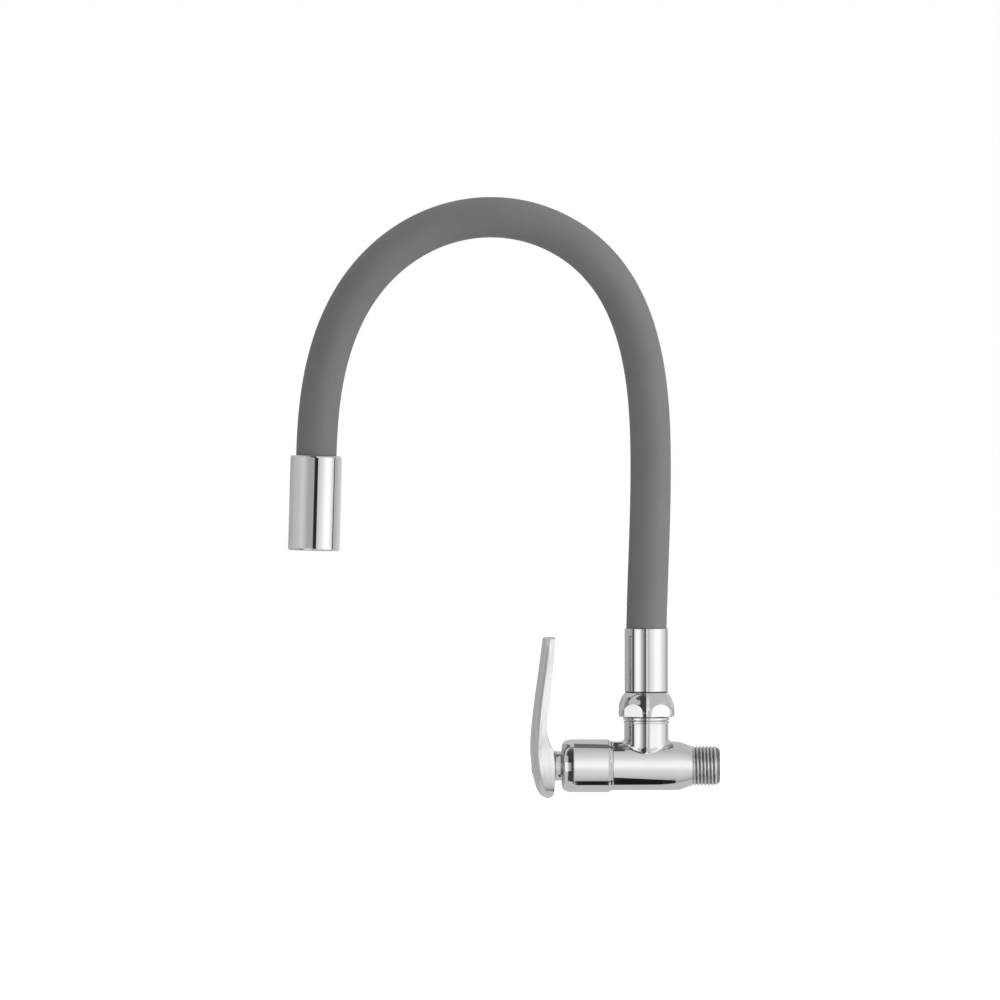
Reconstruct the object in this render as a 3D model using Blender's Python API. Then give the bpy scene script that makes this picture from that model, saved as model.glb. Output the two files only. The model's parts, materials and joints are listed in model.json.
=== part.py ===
"""Wall-mounted quarter-turn sink tap with a stay-put gooseneck spout.

Metres, +Z up. The origin is the centre of the inlet's end face, on the valve's axis. +X runs out of the
inlet into the wall, so the lever is at -X, and the spout stands up from the valve in the XZ plane.
"""

import math

import bmesh
import bpy
from mathutils import Matrix, Vector

mm = 0.001
GAP = 0.3 * mm  # left between pieces that touch

# ---- driving dimensions -----------------------------------------------------------------------------
# Inlet: a G 1/2 male pipe thread.
THREAD_R = 10.48 * mm
THREAD_LENGTH = 15.3 * mm
INLET_BORE_R = 7.0 * mm
THREAD_CHAMFER = ((8.6, 0), (9.5, -0.8), (10.48, -2.3))  # (radius, x)

# Valve barrel and the domed cap on its handle end, both turned about X.
BARREL_R = 12.65 * mm
BARREL_TAPER = 8.0 * mm
BARREL_END_X = -55.0 * mm
BARREL_LIP_X = -62.0 * mm
BARREL_LIP_R = 11.55 * mm
CAVITY_R = 9.6 * mm
SEAT_X = -30.6 * mm
SEAT_R = 5.2 * mm
SEAT_DEPTH = 3.2 * mm
BONNET_R = 13.7 * mm
BONNET_END_X = -81.6 * mm
BONNET_WALL = 1.8 * mm
BONNET_HOLE_R = 8.1 * mm
BONNET_SHOULDER = ((12.75, -55.3), (12.9, -56.2), (13.7, -57.4))  # (radius, x)
BONNET_ROUND_X = 3.8 * mm
BONNET_ROUND_R = 5.3 * mm
BONNET_STEP_X = -67.0 * mm
BONNET_STEP_R = 10.6 * mm
BONNET_WEB = 2.6 * mm
BONNET_WEB_DRAFT = 0.8 * mm

# Outlet neck, turned about the spout's swivel axis.
SPOUT_X = -37.7 * mm
OUTLET_R = 11.5 * mm
OUTLET_FILLET = 2.0 * mm
OUTLET_BLEND = 6.0 * mm  # added to the fillet at the front and back, where post and barrel nearly touch
OUTLET_SHOULDER_Z = 22.2 * mm
OUTLET_BEAD = 0.3 * mm
OUTLET_SHOULDER = 1.1 * mm
OUTLET_THREAD_R = 10.0 * mm
OUTLET_TOP_Z = 33.0 * mm
SOCKET_R = 6.95 * mm
SOCKET_Z = 14.2 * mm
PORT_R = 5.4 * mm
PORT_Z = 6.0 * mm

# Domed hexagonal union nut.
NUT_FLATS = 28.5 * mm
NUT_Z = 25.5 * mm
NUT_TOP_Z = 38.1 * mm
NUT_TURNED = ((25.5, 15.4), (28.0, 15.1), (30.2, 14.7), (32.2, 14.2), (34.3, 13.45), (35.8, 12.7),
              (37.0, 11.85), (38.1, 10.8))  # its turned outside, as (height, radius)
NUT_WEB = 1.8 * mm
NUT_HOLE_R = 7.7 * mm
WASHER_R = 12.1 * mm

# Ferrule between the nut and the flexible neck.
FERRULE_R = 11.35 * mm
FERRULE_Z = 38.4 * mm
FERRULE_TOP_Z = 70.9 * mm
FERRULE_MOUTH_R = 10.85 * mm
FERRULE_FOOT_R = 7.6 * mm
FERRULE_FLOOR_Z = 47.0 * mm
FERRULE_EDGE = 0.5 * mm
FERRULE_LIP = 0.3 * mm

# Flexible neck. Its centreline is planar, and its bend is given in radians per metre at stations
# measured along it from the ferrule's top, changing evenly between them.
NECK_LEAN = math.radians(-1.2)
NECK_BEND = (
    (0 * mm, -0.9),
    (90 * mm, 1.6),
    (140 * mm, 6.0),
    (190 * mm, 13.6),
    (270 * mm, 12.8),
    (335 * mm, 10.9),
    (427 * mm, 2.1),
)
NECK_LENGTH = NECK_BEND[-1][0]
SLEEVE_R = 10.45 * mm
SLEEVE_BORE_R = 8.4 * mm
CORE_R = 7.4 * mm
CORE_BORE_R = 6.4 * mm
TUBE_R = 4.8 * mm
TUBE_BORE_R = 3.8 * mm
BARB_R = 3.1 * mm
TAIL_BORE_R = 2.4 * mm
CRIMP_R = 5.45 * mm
CRIMP_BORE_R = 5.0 * mm
CORE_GAP = 4.0 * mm
CORE_PLAY = 0.25 * mm  # between the core and the collars that hold it
STATION_TURN = math.radians(10)
STATION_RUN = 28 * mm

# Bend points that stand for the neck's continuous bending: name, station, and whether it bends sideways.
NECK_JOINTS = (
    ("neck_riser", 40 * mm, True),
    ("neck_shoulder", 100 * mm, False),
    ("neck_crown", 235 * mm, False),
    ("neck_drop", 330 * mm, False),
    ("spray_end", 388 * mm, True),
)

# Spray head: a plain cylinder that hangs from the end of the neck.
HEAD_R = 13.35 * mm
HEAD_LENGTH = 49.0 * mm
HEAD_WALL = 1.4 * mm
HEAD_EDGE = 1.0 * mm
HEAD_TOP_HOLE_R = SLEEVE_R + 0.35 * mm
HEAD_TOP_WEB = 3.8 * mm

# Lever: a crowned paddle. Its front and back edges are read from the side, its width from the front.
LEVER_TOP_Z = 66.5 * mm
LEVER_BOTTOM_Z = -16.7 * mm
LEVER_FRONT = ((-16.7, -89.6), (-14.6, -92.8), (-8.0, -95.6), (2.0, -97.3), (10.0, -97.8),
               (20.0, -97.2), (34.0, -95.6), (50.0, -93.4), (66.5, -91.3))
LEVER_BACK = ((-16.7, -88.0), (-14.6, -85.7), (-8.0, -85.1), (2.0, -85.1), (8.0, -85.9),
              (14.0, -88.2), (22.0, -89.1), (34.0, -87.7), (50.0, -86.0), (66.5, -84.5))
LEVER_HALF_WIDTH = ((-16.7, 2.5), (-15.6, 6.4), (-12.5, 10.3), (-7.0, 13.0), (0.0, 13.8), (8.0, 13.0),
                    (18.0, 10.6), (30.0, 9.0), (46.0, 8.8), (60.0, 9.4), (66.5, 9.2))
LEVER_LEVELS = (-16.7, -16.0, -14.4, -11.5, -7.5, -2.5, 3.0, 8.0, 11.5, 15.0, 20.0, 27.0, 36.0, 46.0,
                56.0, 63.5, 66.0, 66.5)
LEVER_CROWN = 5.2 * mm
LEVER_EDGE = 1.3 * mm
LEVER_TIP_ROUND = 1.6
STEM_R = 7.65 * mm
STEM_END_X = -79.4 * mm
STEM_SUNK_X = -87.5 * mm
STEM_EDGE = 0.5 * mm

# Faces round each turned piece.
BIG, MID, SMALL, RING = 32, 20, 16, 10
CUT = 4 * mm  # how far a cutter runs past what it cuts


# ---- materials --------------------------------------------------------------------------------------
def material(name, colour, roughness, metallic):
    made = bpy.data.materials.new(name)
    made.use_nodes = True
    shader = made.node_tree.nodes["Principled BSDF"]
    shader.inputs["Base Color"].default_value = (*colour, 1)
    shader.inputs["Roughness"].default_value = roughness
    shader.inputs["Metallic"].default_value = metallic
    made.diffuse_color = (*colour, 1)
    return made


def finish_of(name, kind):
    looks = {
        "chrome": ((0.78, 0.78, 0.79), 0.08, 1.0),
        "brass": ((0.76, 0.58, 0.28), 0.3, 1.0),
        "steel": ((0.62, 0.62, 0.63), 0.3, 1.0),
        "silicone": ((0.16, 0.16, 0.165), 0.55, 0.0),
        "rubber": ((0.03, 0.03, 0.03), 0.7, 0.0),
        "ceramic": ((0.85, 0.84, 0.8), 0.25, 0.0),
        "white_plastic": ((0.8, 0.8, 0.78), 0.4, 0.0),
        "grey_plastic": ((0.3, 0.3, 0.31), 0.45, 0.0),
    }
    return material(name, *looks[kind])


# ---- frames and bodies ------------------------------------------------------------------------------
def frame_along(point, direction):
    """A matrix whose Z runs along direction from point, with its X in the XZ plane."""
    z = Vector(direction).normalized()
    y = Vector((0, 1, 0)) if abs(z.y) < 0.5 else Vector((1, 0, 0))
    x = y.cross(z).normalized()
    y = z.cross(x)
    turn = Matrix((x, y, z)).transposed().to_4x4()
    return Matrix.Translation(point) @ turn


def bend_at(station):
    for (s0, k0), (s1, k1) in zip(NECK_BEND, NECK_BEND[1:]):
        if station <= s1:
            return k0 + (k1 - k0) * (station - s0) / (s1 - s0)
    return 0.0


def neck_point(station):
    """Centre and unit direction of the neck at a station. It stands upright inside the ferrule, and runs
    on straight inside the spray head."""
    steps = 240
    heading = math.pi / 2 + NECK_LEAN
    place = Vector((SPOUT_X, 0, FERRULE_TOP_Z))
    if station < 0:
        return place + Vector((0, 0, station)), Vector((0, 0, 1))
    inside = min(station, NECK_LENGTH)
    step = inside / steps
    for i in range(steps):
        middle = heading + bend_at((i + 0.25) * step) * step / 2
        place += Vector((math.cos(middle), 0, math.sin(middle))) * step
        heading += bend_at((i + 0.5) * step) * step
    along = Vector((math.cos(heading), 0, math.sin(heading)))
    return place + along * (station - inside), along


VALVE = frame_along((0, 0, 0), (1, 0, 0))
OUTLET = frame_along((SPOUT_X, 0, 0), (0, 0, 1))
HEAD = frame_along(*neck_point(NECK_LENGTH))

bodies = {}


def body(name, pivot, parent=None):
    """An empty on the joint's axis, which the pieces of that body hang from."""
    empty = bpy.data.objects.new(name + "_pivot", None)
    empty.empty_display_size = 10 * mm
    bpy.context.scene.collection.objects.link(empty)
    base = bodies[parent][1] if parent else Vector((0, 0, 0))
    empty.location = Vector(pivot) - base
    if parent:
        empty.parent = bodies[parent][0]
    bodies[name] = (empty, Vector(pivot))


def add(name, mesh, kind, owner):
    """Makes the object of one piece from a bmesh in world space, on its body's pivot."""
    empty, pivot = bodies[owner]
    bmesh.ops.recalc_face_normals(mesh, faces=mesh.faces)
    if mesh.calc_volume(signed=True) < 0:
        bmesh.ops.reverse_faces(mesh, faces=mesh.faces)
    bmesh.ops.translate(mesh, verts=mesh.verts, vec=-pivot)
    data = bpy.data.meshes.new(name)
    mesh.to_mesh(data)
    mesh.free()
    data.shade_smooth()
    data.set_sharp_from_angle(angle=math.radians(35))
    data.materials.append(finish_of(name, kind))
    made = bpy.data.objects.new(name, data)
    made.parent = empty
    bpy.context.scene.collection.objects.link(made)
    return made


def tool(name, mesh, owner):
    """A cutter, or a shape that a Boolean joins: it never renders."""
    made = add(name, mesh, "steel", owner)
    made.hide_render = True
    made.display_type = "WIRE"
    return made


def boolean(target, other, operation):
    step = target.modifiers.new(other.name, "BOOLEAN")
    step.operation = operation
    step.solver = "EXACT"
    step.object = other


# ---- shapes -----------------------------------------------------------------------------------------
def turned(frame, outline, faces=MID, radius_of=None):
    """A closed outline of (radius, height) points spun about the frame's Z. radius_of changes a radius
    by the number of its face, as for splines."""
    mesh = bmesh.new()
    rings = []
    for radius, height in outline:
        ring = []
        if radius < 1e-9:
            ring = [mesh.verts.new(frame @ Vector((0, 0, height)))] * faces
        else:
            for i in range(faces):
                turn = 2 * math.pi * i / faces
                r = radius_of(radius, i) if radius_of else radius
                spot = Vector((r * math.cos(turn), r * math.sin(turn), height))
                ring.append(mesh.verts.new(frame @ spot))
        rings.append(ring)
    for low, high in zip(rings, rings[1:] + rings[:1]):
        for i in range(faces):
            j = (i + 1) % faces
            corners = [low[i], low[j], high[j], high[i]]
            corners = [v for n, v in enumerate(corners) if v not in corners[:n]]
            if len(corners) > 2:
                mesh.faces.new(corners)
    return mesh


def ring_outline(outer, inner, low, high):
    return [(inner, low), (outer, low), (outer, high), (inner, high)]


def rod_outline(radius, low, high):
    return [(0, low), (radius, low), (radius, high), (0, high)]


def o_ring(frame, middle_r, thick, height, faces=RING, sides=5):
    outline = []
    for i in range(sides):
        turn = 2 * math.pi * i / sides
        outline.append((middle_r + thick / 2 * math.cos(turn), height + thick / 2 * math.sin(turn)))
    return turned(frame, outline, faces)


def prism(frame, points, low, high):
    """A flat outline of (x, y) points, extruded along the frame's Z."""
    mesh = bmesh.new()
    face = mesh.faces.new([mesh.verts.new(Vector((x, y, low))) for x, y in points])
    extruded = bmesh.ops.extrude_face_region(mesh, geom=[face])
    moved = [v for v in extruded["geom"] if isinstance(v, bmesh.types.BMVert)]
    bmesh.ops.translate(mesh, verts=moved, vec=(0, 0, high - low))
    bmesh.ops.transform(mesh, matrix=frame, verts=mesh.verts)
    return mesh


def sector(inner, outer, centre, span, steps=6):
    """Points of a ring sector, as (x, y): centre and span are angles."""
    turns = [centre - span / 2 + span * i / steps for i in range(steps + 1)]
    out = [(outer * math.cos(a), outer * math.sin(a)) for a in turns]
    back = [(inner * math.cos(a), inner * math.sin(a)) for a in reversed(turns)]
    return out + back


def oblong(half_x, half_y):
    return [(-half_x, -half_y), (half_x, -half_y), (half_x, half_y), (-half_x, half_y)]


def joined(first, second):
    """Adds the second bmesh to the first."""
    held = bpy.data.meshes.new("held")
    second.to_mesh(held)
    second.free()
    first.from_mesh(held)
    bpy.data.meshes.remove(held)
    return first


def swept_tube(stations, outer, inner, faces):
    """A tube along the neck, of those two radii. The bore has half the faces."""
    mesh = bmesh.new()

    def ring(station, radius, count):
        centre, along = neck_point(station)
        side = Vector((0, 1, 0))
        up = along.cross(side)
        turns = [2 * math.pi * i / count for i in range(count)]
        return [mesh.verts.new(centre + (up * math.cos(a) + side * math.sin(a)) * radius) for a in turns]

    def skin(rings):
        for low, high in zip(rings, rings[1:]):
            for i in range(len(low)):
                j = (i + 1) % len(low)
                mesh.faces.new([low[i], low[j], high[j], high[i]])

    outside = [ring(s, outer, faces) for s in stations]
    inside = [ring(s, inner, faces // 2) for s in stations]
    skin(outside)
    skin(inside)
    for rim, bore in ((outside[0], inside[0]), (outside[-1], inside[-1])):
        for i in range(faces // 2):
            j = (i + 1) % (faces // 2)
            mesh.faces.new([bore[i], rim[2 * i], rim[2 * i + 1], rim[2 * j], bore[j]])
    return mesh


def neck_stations(start, end):
    """Stations from start to end. Those in between are the same for every tube, so that one nests inside
    the next: from each to the next the neck turns by about STATION_TURN, or runs on for STATION_RUN."""
    found = [start] + [0.0] * (start < -STATION_MARGIN)
    turned_by = run = 0.0
    for i in range(int(NECK_LENGTH / STATION_STEP)):
        station = i * STATION_STEP
        turned_by += abs(bend_at(station)) * STATION_STEP
        run += STATION_STEP
        if turned_by > STATION_TURN or run > STATION_RUN:
            turned_by = run = 0.0
            if start + STATION_MARGIN < station < min(end, NECK_LENGTH) - STATION_MARGIN:
                found.append(station)
    return found + [NECK_LENGTH] * (end > NECK_LENGTH + STATION_MARGIN) + [end]


def curve_through(points, at):
    """A smooth curve through (place, value) points in millimetres, read at one place, in metres."""
    places = [p for p, _ in points]
    values = [v for _, v in points]
    last = len(points) - 1
    i = max(n for n in range(last) if places[n] <= at or n == 0)
    width = places[i + 1] - places[i]

    def slope(n):
        a, b = max(n - 1, 0), min(n + 1, last)
        return (values[b] - values[a]) / (places[b] - places[a])

    t = (at - places[i]) / width
    return mm * (
        values[i] * (1 + 2 * t) * (1 - t) ** 2
        + values[i + 1] * t * t * (3 - 2 * t)
        + slope(i) * width * t * (1 - t) ** 2
        - slope(i + 1) * width * t * t * (1 - t)
    )


# ---- valve ------------------------------------------------------------------------------------------
def outlet_neck_mesh(faces=BIG):
    """The outlet's outside: a post on the barrel, under a beaded shoulder. Its foot is the surface that a
    ball sweeps as it rolls round, touching both. The ball is largest at the front and back."""
    mesh = bmesh.new()
    rings = []

    def add_ring(place):
        turns = [2 * math.pi * i / faces for i in range(faces)]
        rings.append([mesh.verts.new(OUTLET @ place(turn)) for turn in turns])

    def level(radius, height):
        add_ring(lambda turn: Vector((radius * math.cos(turn), radius * math.sin(turn), height)))

    def fillet_place(share, sink=0.0):
        def place(turn):
            fillet = OUTLET_FILLET + OUTLET_BLEND * math.sin(turn) ** 6
            out = OUTLET_R + fillet
            reach = BARREL_R + fillet
            ball = Vector((out * math.cos(turn), out * math.sin(turn), 0))
            ball.z = math.sqrt(reach**2 - ball.y**2)
            to_post = Vector((-math.cos(turn), -math.sin(turn), 0))
            to_barrel = Vector((0, -ball.y, -ball.z)) / reach
            spot = ball + to_barrel.slerp(to_post, share) * fillet
            spot += to_barrel * sink
            return spot

        return place

    level(OUTLET_R, 0)
    for share in (0, 0.35, 0.7, 1):
        add_ring(fillet_place(share, 0.12 * mm if share == 0 else 0))
    z = OUTLET_SHOULDER_Z
    for radius, height in (
        (OUTLET_R, z),
        (OUTLET_R + OUTLET_BEAD, z + OUTLET_BEAD),
        (OUTLET_R + OUTLET_BEAD, z + OUTLET_SHOULDER - OUTLET_BEAD),
        (OUTLET_R - OUTLET_BEAD, z + OUTLET_SHOULDER),
        (OUTLET_THREAD_R, z + OUTLET_SHOULDER),
        (OUTLET_THREAD_R, OUTLET_TOP_Z),
    ):
        level(radius, height)
    for low, high in zip(rings, rings[1:]):
        for i in range(faces):
            j = (i + 1) % faces
            mesh.faces.new([low[i], low[j], high[j], high[i]])
    mesh.faces.new(list(reversed(rings[0])))
    mesh.faces.new(rings[-1])
    return mesh


def valve_body():
    outside = [(0, 0)] + [(radius * mm, x * mm) for radius, x in THREAD_CHAMFER]
    for i in range(5):
        radius = THREAD_R + (BARREL_R - THREAD_R) * math.sin(math.pi / 2 * i / 4)
        outside.append((radius, -THREAD_LENGTH - BARREL_TAPER * i / 4))
    outside += [
        (BARREL_R, BARREL_END_X),
        (BARREL_LIP_R, BARREL_END_X),
        (BARREL_LIP_R, BARREL_LIP_X),
        (0, BARREL_LIP_X),
    ]
    made = add("valve_body", turned(VALVE, outside, BIG), "chrome", "valve")
    boolean(made, tool("valve_body_outlet", outlet_neck_mesh(), "valve"), "UNION")
    passage = [
        (0, CUT),
        (INLET_BORE_R, CUT),
        (INLET_BORE_R, SEAT_X + SEAT_DEPTH),
        (SEAT_R, SEAT_X + SEAT_DEPTH),
        (SEAT_R, SEAT_X),
        (CAVITY_R, SEAT_X),
        (CAVITY_R, BARREL_LIP_X - CUT),
        (0, BARREL_LIP_X - CUT),
    ]
    boolean(made, tool("valve_body_passage", turned(VALVE, passage, MID), "valve"), "DIFFERENCE")
    socket = [
        (0, PORT_Z),
        (PORT_R, PORT_Z),
        (PORT_R, SOCKET_Z),
        (SOCKET_R, SOCKET_Z),
        (SOCKET_R, OUTLET_TOP_Z + CUT),
        (0, OUTLET_TOP_Z + CUT),
    ]
    boolean(made, tool("valve_body_socket", turned(OUTLET, socket, MID), "valve"), "DIFFERENCE")


def bonnet_cap():
    outline = [(radius * mm, x * mm) for radius, x in BONNET_SHOULDER]
    for i in range(6):
        turn = math.pi / 2 * i / 5
        radius = BONNET_R - BONNET_ROUND_R * (1 - math.cos(turn))
        outline.append((radius, BONNET_END_X + BONNET_ROUND_X * (1 - math.sin(turn))))
    inner = BONNET_R - BONNET_WALL
    web = BONNET_END_X + BONNET_WEB
    outline += [
        (BONNET_HOLE_R, BONNET_END_X),
        (BONNET_HOLE_R, web),
        (BONNET_STEP_R, web + BONNET_WEB_DRAFT),
        (BONNET_STEP_R, BONNET_STEP_X),
        (inner, BONNET_STEP_X),
        (inner, BARREL_END_X - GAP),
    ]
    add("bonnet_cap", turned(VALVE, outline, BIG), "chrome", "valve")


HOUSING_R = 9.1 * mm
HOUSING_DISC_R = 7.8 * mm
HOUSING_SHAFT_R = 5.0 * mm
HOUSING_NECK_R = 8.4 * mm
HOUSING_END_X = -76.0 * mm
HOUSING_WINDOW = (2.6 * mm, 4.2 * mm)  # half its length along X, and half its width
HOUSING_WINDOW_X = -40.35 * mm
FLANGE_R = 11.3 * mm
FLANGE_X = -66.4 * mm
FLANGE_WIDTH = 2.6 * mm
GASKET_R = 11.2 * mm
GASKET_THICK = 1.2 * mm
SEAT_SEAL_R = 7.4 * mm
DISC_R = 7.35 * mm
DISC_THICK = 3.0 * mm
DISC_PORT = (2.4 * mm, 6.2 * mm, math.radians(72))  # inner and outer radius, and span
DISC_SLOT = (1.5 * mm, 6.0 * mm)  # half its width and length
DISC_SLOT_DEPTH = 1.4 * mm
TONGUE = (1.2 * mm, 5.6 * mm)  # half its width and length
TONGUE_LENGTH = 1.0 * mm
DOG_THICK = 2.2 * mm
FIXED_DISC_X = -36.4 * mm
TURNING_DISC_X = FIXED_DISC_X - GAP - DISC_THICK
DOG_X = TURNING_DISC_X - GAP - DOG_THICK


def cartridge_housing():
    low = SEAT_X - 0.6 * mm
    inner_end = DOG_X - GAP
    outline = [
        (HOUSING_DISC_R, low),
        (HOUSING_R, low),
        (HOUSING_R, FLANGE_X + FLANGE_WIDTH),
        (FLANGE_R, FLANGE_X + FLANGE_WIDTH),
        (FLANGE_R, FLANGE_X),
        (HOUSING_NECK_R, FLANGE_X),
        (HOUSING_NECK_R, HOUSING_END_X),
        (HOUSING_SHAFT_R, HOUSING_END_X),
        (HOUSING_SHAFT_R, inner_end),
        (HOUSING_DISC_R, inner_end),
    ]
    made = add("cartridge_housing", turned(VALVE, outline, MID), "brass", "valve")
    across = frame_along((HOUSING_WINDOW_X, 0, 0), (0, 0, 1))
    reach = HOUSING_R + CUT
    window = prism(across, oblong(*HOUSING_WINDOW), -reach, reach)
    cutter = tool("cartridge_housing_windows", window, "valve")
    boolean(made, cutter, "DIFFERENCE")


def housing_gasket():
    top = BARREL_LIP_X - GAP
    outline = ring_outline(GASKET_R, HOUSING_R + GAP, top - GASKET_THICK, top)
    add("housing_gasket", turned(VALVE, outline, SMALL), "rubber", "valve")


def seat_seal():
    low = FIXED_DISC_X + DISC_THICK + GAP
    outline = ring_outline(SEAT_SEAL_R, SEAT_R, low, SEAT_X - GAP)
    add("seat_seal", turned(VALVE, outline, SMALL), "rubber", "valve")


def ceramic_disc(name, x, owner, port_turn, slot):
    inner, outer, span = DISC_PORT
    outline = rod_outline(DISC_R, x, x + DISC_THICK)
    made = add(name, turned(VALVE, outline, MID), "ceramic", owner)
    for number in range(2):
        points = sector(inner, outer, port_turn + math.pi * number, span)
        cutter = prism(VALVE, points, x - CUT, x + DISC_THICK + CUT)
        boolean(made, tool(f"{name}_port_{number + 1}", cutter, owner), "DIFFERENCE")
    if slot:
        cutter = prism(VALVE, oblong(*DISC_SLOT), x - CUT, x + DISC_SLOT_DEPTH)
        boolean(made, tool(f"{name}_slot", cutter, owner), "DIFFERENCE")


# ---- handle -----------------------------------------------------------------------------------------
DOG_R = 6.9 * mm
SHAFT_R = 4.7 * mm
SPLINE_R = 3.9 * mm
SPLINE_DEPTH = 0.35 * mm
SPLINE_FACES = 16  # two to a spline
SPLINE_END_X = -91.0 * mm
O_RING_XS = (-52.0 * mm, -56.0 * mm)
O_RING_MIDDLE_R = 4.3 * mm
O_RING_THICK = 1.05 * mm
GROOVE_R = 3.5 * mm
GROOVE_HALF = 1.0 * mm
CLIP_X = -77.4 * mm
CLIP_R = 6.2 * mm
CLIP_THICK = 0.9 * mm
CLIP_PLAY = 0.2 * mm
CLIP_OPENING = math.radians(50)
SCREW_R = 2.0 * mm
SCREW_HEAD_R = 3.4 * mm
SCREW_HEAD_THICK = 1.5 * mm
SCREW_SOCKET_R = 1.2 * mm
SCREW_SOCKET_FLOOR = 0.6 * mm
SCREW_SEAT_X = -94.0 * mm
SCREW_LENGTH = 8.0 * mm  # inside the spindle
SOCKET_PLAY = 0.25 * mm
PLUG_R = 4.5 * mm
PLUG_PLAY = 0.15 * mm
PLUG_CROWN = ((0, 0.05), (3.0, 0.15), (4.3, 0.5), (4.5, 0.8), (4.5, 0.95), (0, 0.95))  # (radius, depth)


def spindle():
    outline = [
        (0, TURNING_DISC_X - GAP),
        (DOG_R, TURNING_DISC_X - GAP),
        (DOG_R, DOG_X),
        (SHAFT_R, DOG_X),
    ]
    for ring_x in O_RING_XS:
        outline += [(SHAFT_R, ring_x + GROOVE_HALF), (GROOVE_R, ring_x + GROOVE_HALF)]
        outline += [(GROOVE_R, ring_x - GROOVE_HALF), (SHAFT_R, ring_x - GROOVE_HALF)]
    clip_top = CLIP_X + CLIP_THICK + CLIP_PLAY
    hole_end = SPLINE_END_X + SCREW_LENGTH + mm
    outline += [
        (SHAFT_R, clip_top),
        (GROOVE_R, clip_top),
        (GROOVE_R, CLIP_X - CLIP_PLAY),
        (SPLINE_R, CLIP_X - CLIP_PLAY),
        (SPLINE_R, SPLINE_END_X),
        (SCREW_R + GAP, SPLINE_END_X),
        (SCREW_R + GAP, hole_end),
        (0, hole_end),
    ]

    def splined(radius, face):
        return radius - SPLINE_DEPTH if radius == SPLINE_R and face % 2 else radius

    made = add("spindle", turned(VALVE, outline, SPLINE_FACES, splined), "brass", "handle")
    shape = prism(VALVE, oblong(*TONGUE), TURNING_DISC_X - mm, TURNING_DISC_X + TONGUE_LENGTH)
    boolean(made, tool("spindle_tongue", shape, "handle"), "UNION")


def spindle_o_rings():
    for number, x in enumerate(O_RING_XS, 1):
        shape = o_ring(VALVE, O_RING_MIDDLE_R, O_RING_THICK, x)
        add(f"spindle_o_ring_{number}", shape, "rubber", "handle")


def spindle_clip():
    points = sector(GROOVE_R + SOCKET_PLAY, CLIP_R, math.pi, 2 * math.pi - CLIP_OPENING, 16)
    add("spindle_clip", prism(VALVE, points, CLIP_X, CLIP_X + CLIP_THICK), "steel", "handle")


def lever_section(level):
    """Points round the paddle at one height: a crowned front, thin sides and a flat back."""
    front = curve_through(LEVER_FRONT, level)
    back = curve_through(LEVER_BACK, level)
    half = curve_through(LEVER_HALF_WIDTH, level)
    ends = min(level - LEVER_BOTTOM_Z / mm, LEVER_TOP_Z / mm - level)
    if level > LEVER_TOP_Z / mm - 2 * LEVER_TIP_ROUND:
        rounding = max(0.0, LEVER_TIP_ROUND - ends) * mm
        front += 0.35 * rounding
        back -= 0.9 * rounding
        half -= 0.8 * rounding
    thick = back - front
    crown = min(LEVER_CROWN, 0.7 * thick)
    edge = min(LEVER_EDGE, 0.25 * thick)
    points = []
    for i in range(9):
        turn = math.pi * (i / 8 - 0.5)
        points.append((front + crown * (1 - math.cos(turn)), half * math.sin(turn)))
    points += [
        (back - edge, half),
        (back - 0.3 * edge, half - 0.3 * edge),
        (back, half - edge),
        (back, 0),
        (back, edge - half),
        (back - 0.3 * edge, 0.3 * edge - half),
        (back - edge, -half),
    ]
    return [Vector((x, y, level * mm)) for x, y in points]


def lever_handle():
    mesh = bmesh.new()
    rings = [[mesh.verts.new(spot) for spot in lever_section(level)] for level in LEVER_LEVELS]
    for low, high in zip(rings, rings[1:]):
        for i in range(len(low)):
            j = (i + 1) % len(low)
            mesh.faces.new([low[i], low[j], high[j], high[i]])
    mesh.faces.new(list(reversed(rings[0])))
    mesh.faces.new(rings[-1])
    made = add("lever_handle", mesh, "chrome", "handle")
    stem = [(0, STEM_SUNK_X), (STEM_R, STEM_SUNK_X), (STEM_R, STEM_END_X - STEM_EDGE)]
    stem += [(STEM_R - STEM_EDGE, STEM_END_X), (0, STEM_END_X)]
    boolean(made, tool("lever_handle_stem", turned(VALVE, stem, MID), "handle"), "UNION")

    def splined(radius, face):
        return radius - SPLINE_DEPTH if radius > SPLINE_R and face % 2 else radius

    socket = rod_outline(SPLINE_R + SOCKET_PLAY, SPLINE_END_X - GAP, STEM_END_X + CUT)
    cutter = tool("lever_handle_socket", turned(VALVE, socket, SPLINE_FACES, splined), "handle")
    boolean(made, cutter, "DIFFERENCE")
    outside = SCREW_SEAT_X - 2 * CUT
    bore = [
        (0, outside),
        (PLUG_R + PLUG_PLAY, outside),
        (PLUG_R + PLUG_PLAY, SCREW_SEAT_X),
        (SCREW_R + GAP, SCREW_SEAT_X),
        (SCREW_R + GAP, SPLINE_END_X + mm),
        (0, SPLINE_END_X + mm),
    ]
    boolean(made, tool("lever_handle_bore", turned(VALVE, bore, SMALL), "handle"), "DIFFERENCE")


def handle_screw():
    seat = SCREW_SEAT_X - GAP
    outline = [
        (0, seat - SCREW_SOCKET_FLOOR),
        (SCREW_SOCKET_R, seat - SCREW_SOCKET_FLOOR),
        (SCREW_SOCKET_R, seat - SCREW_HEAD_THICK),
        (SCREW_HEAD_R, seat - SCREW_HEAD_THICK),
        (SCREW_HEAD_R, seat),
        (SCREW_R, seat),
        (SCREW_R, SPLINE_END_X + SCREW_LENGTH),
        (0, SPLINE_END_X + SCREW_LENGTH),
    ]
    add("handle_screw", turned(VALVE, outline, RING), "steel", "handle")


def handle_plug():
    front = curve_through(LEVER_FRONT, 0)
    outline = [(radius * mm, front + depth * mm) for radius, depth in PLUG_CROWN]
    add("handle_plug", turned(VALVE, outline, SMALL), "chrome", "handle")


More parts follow.
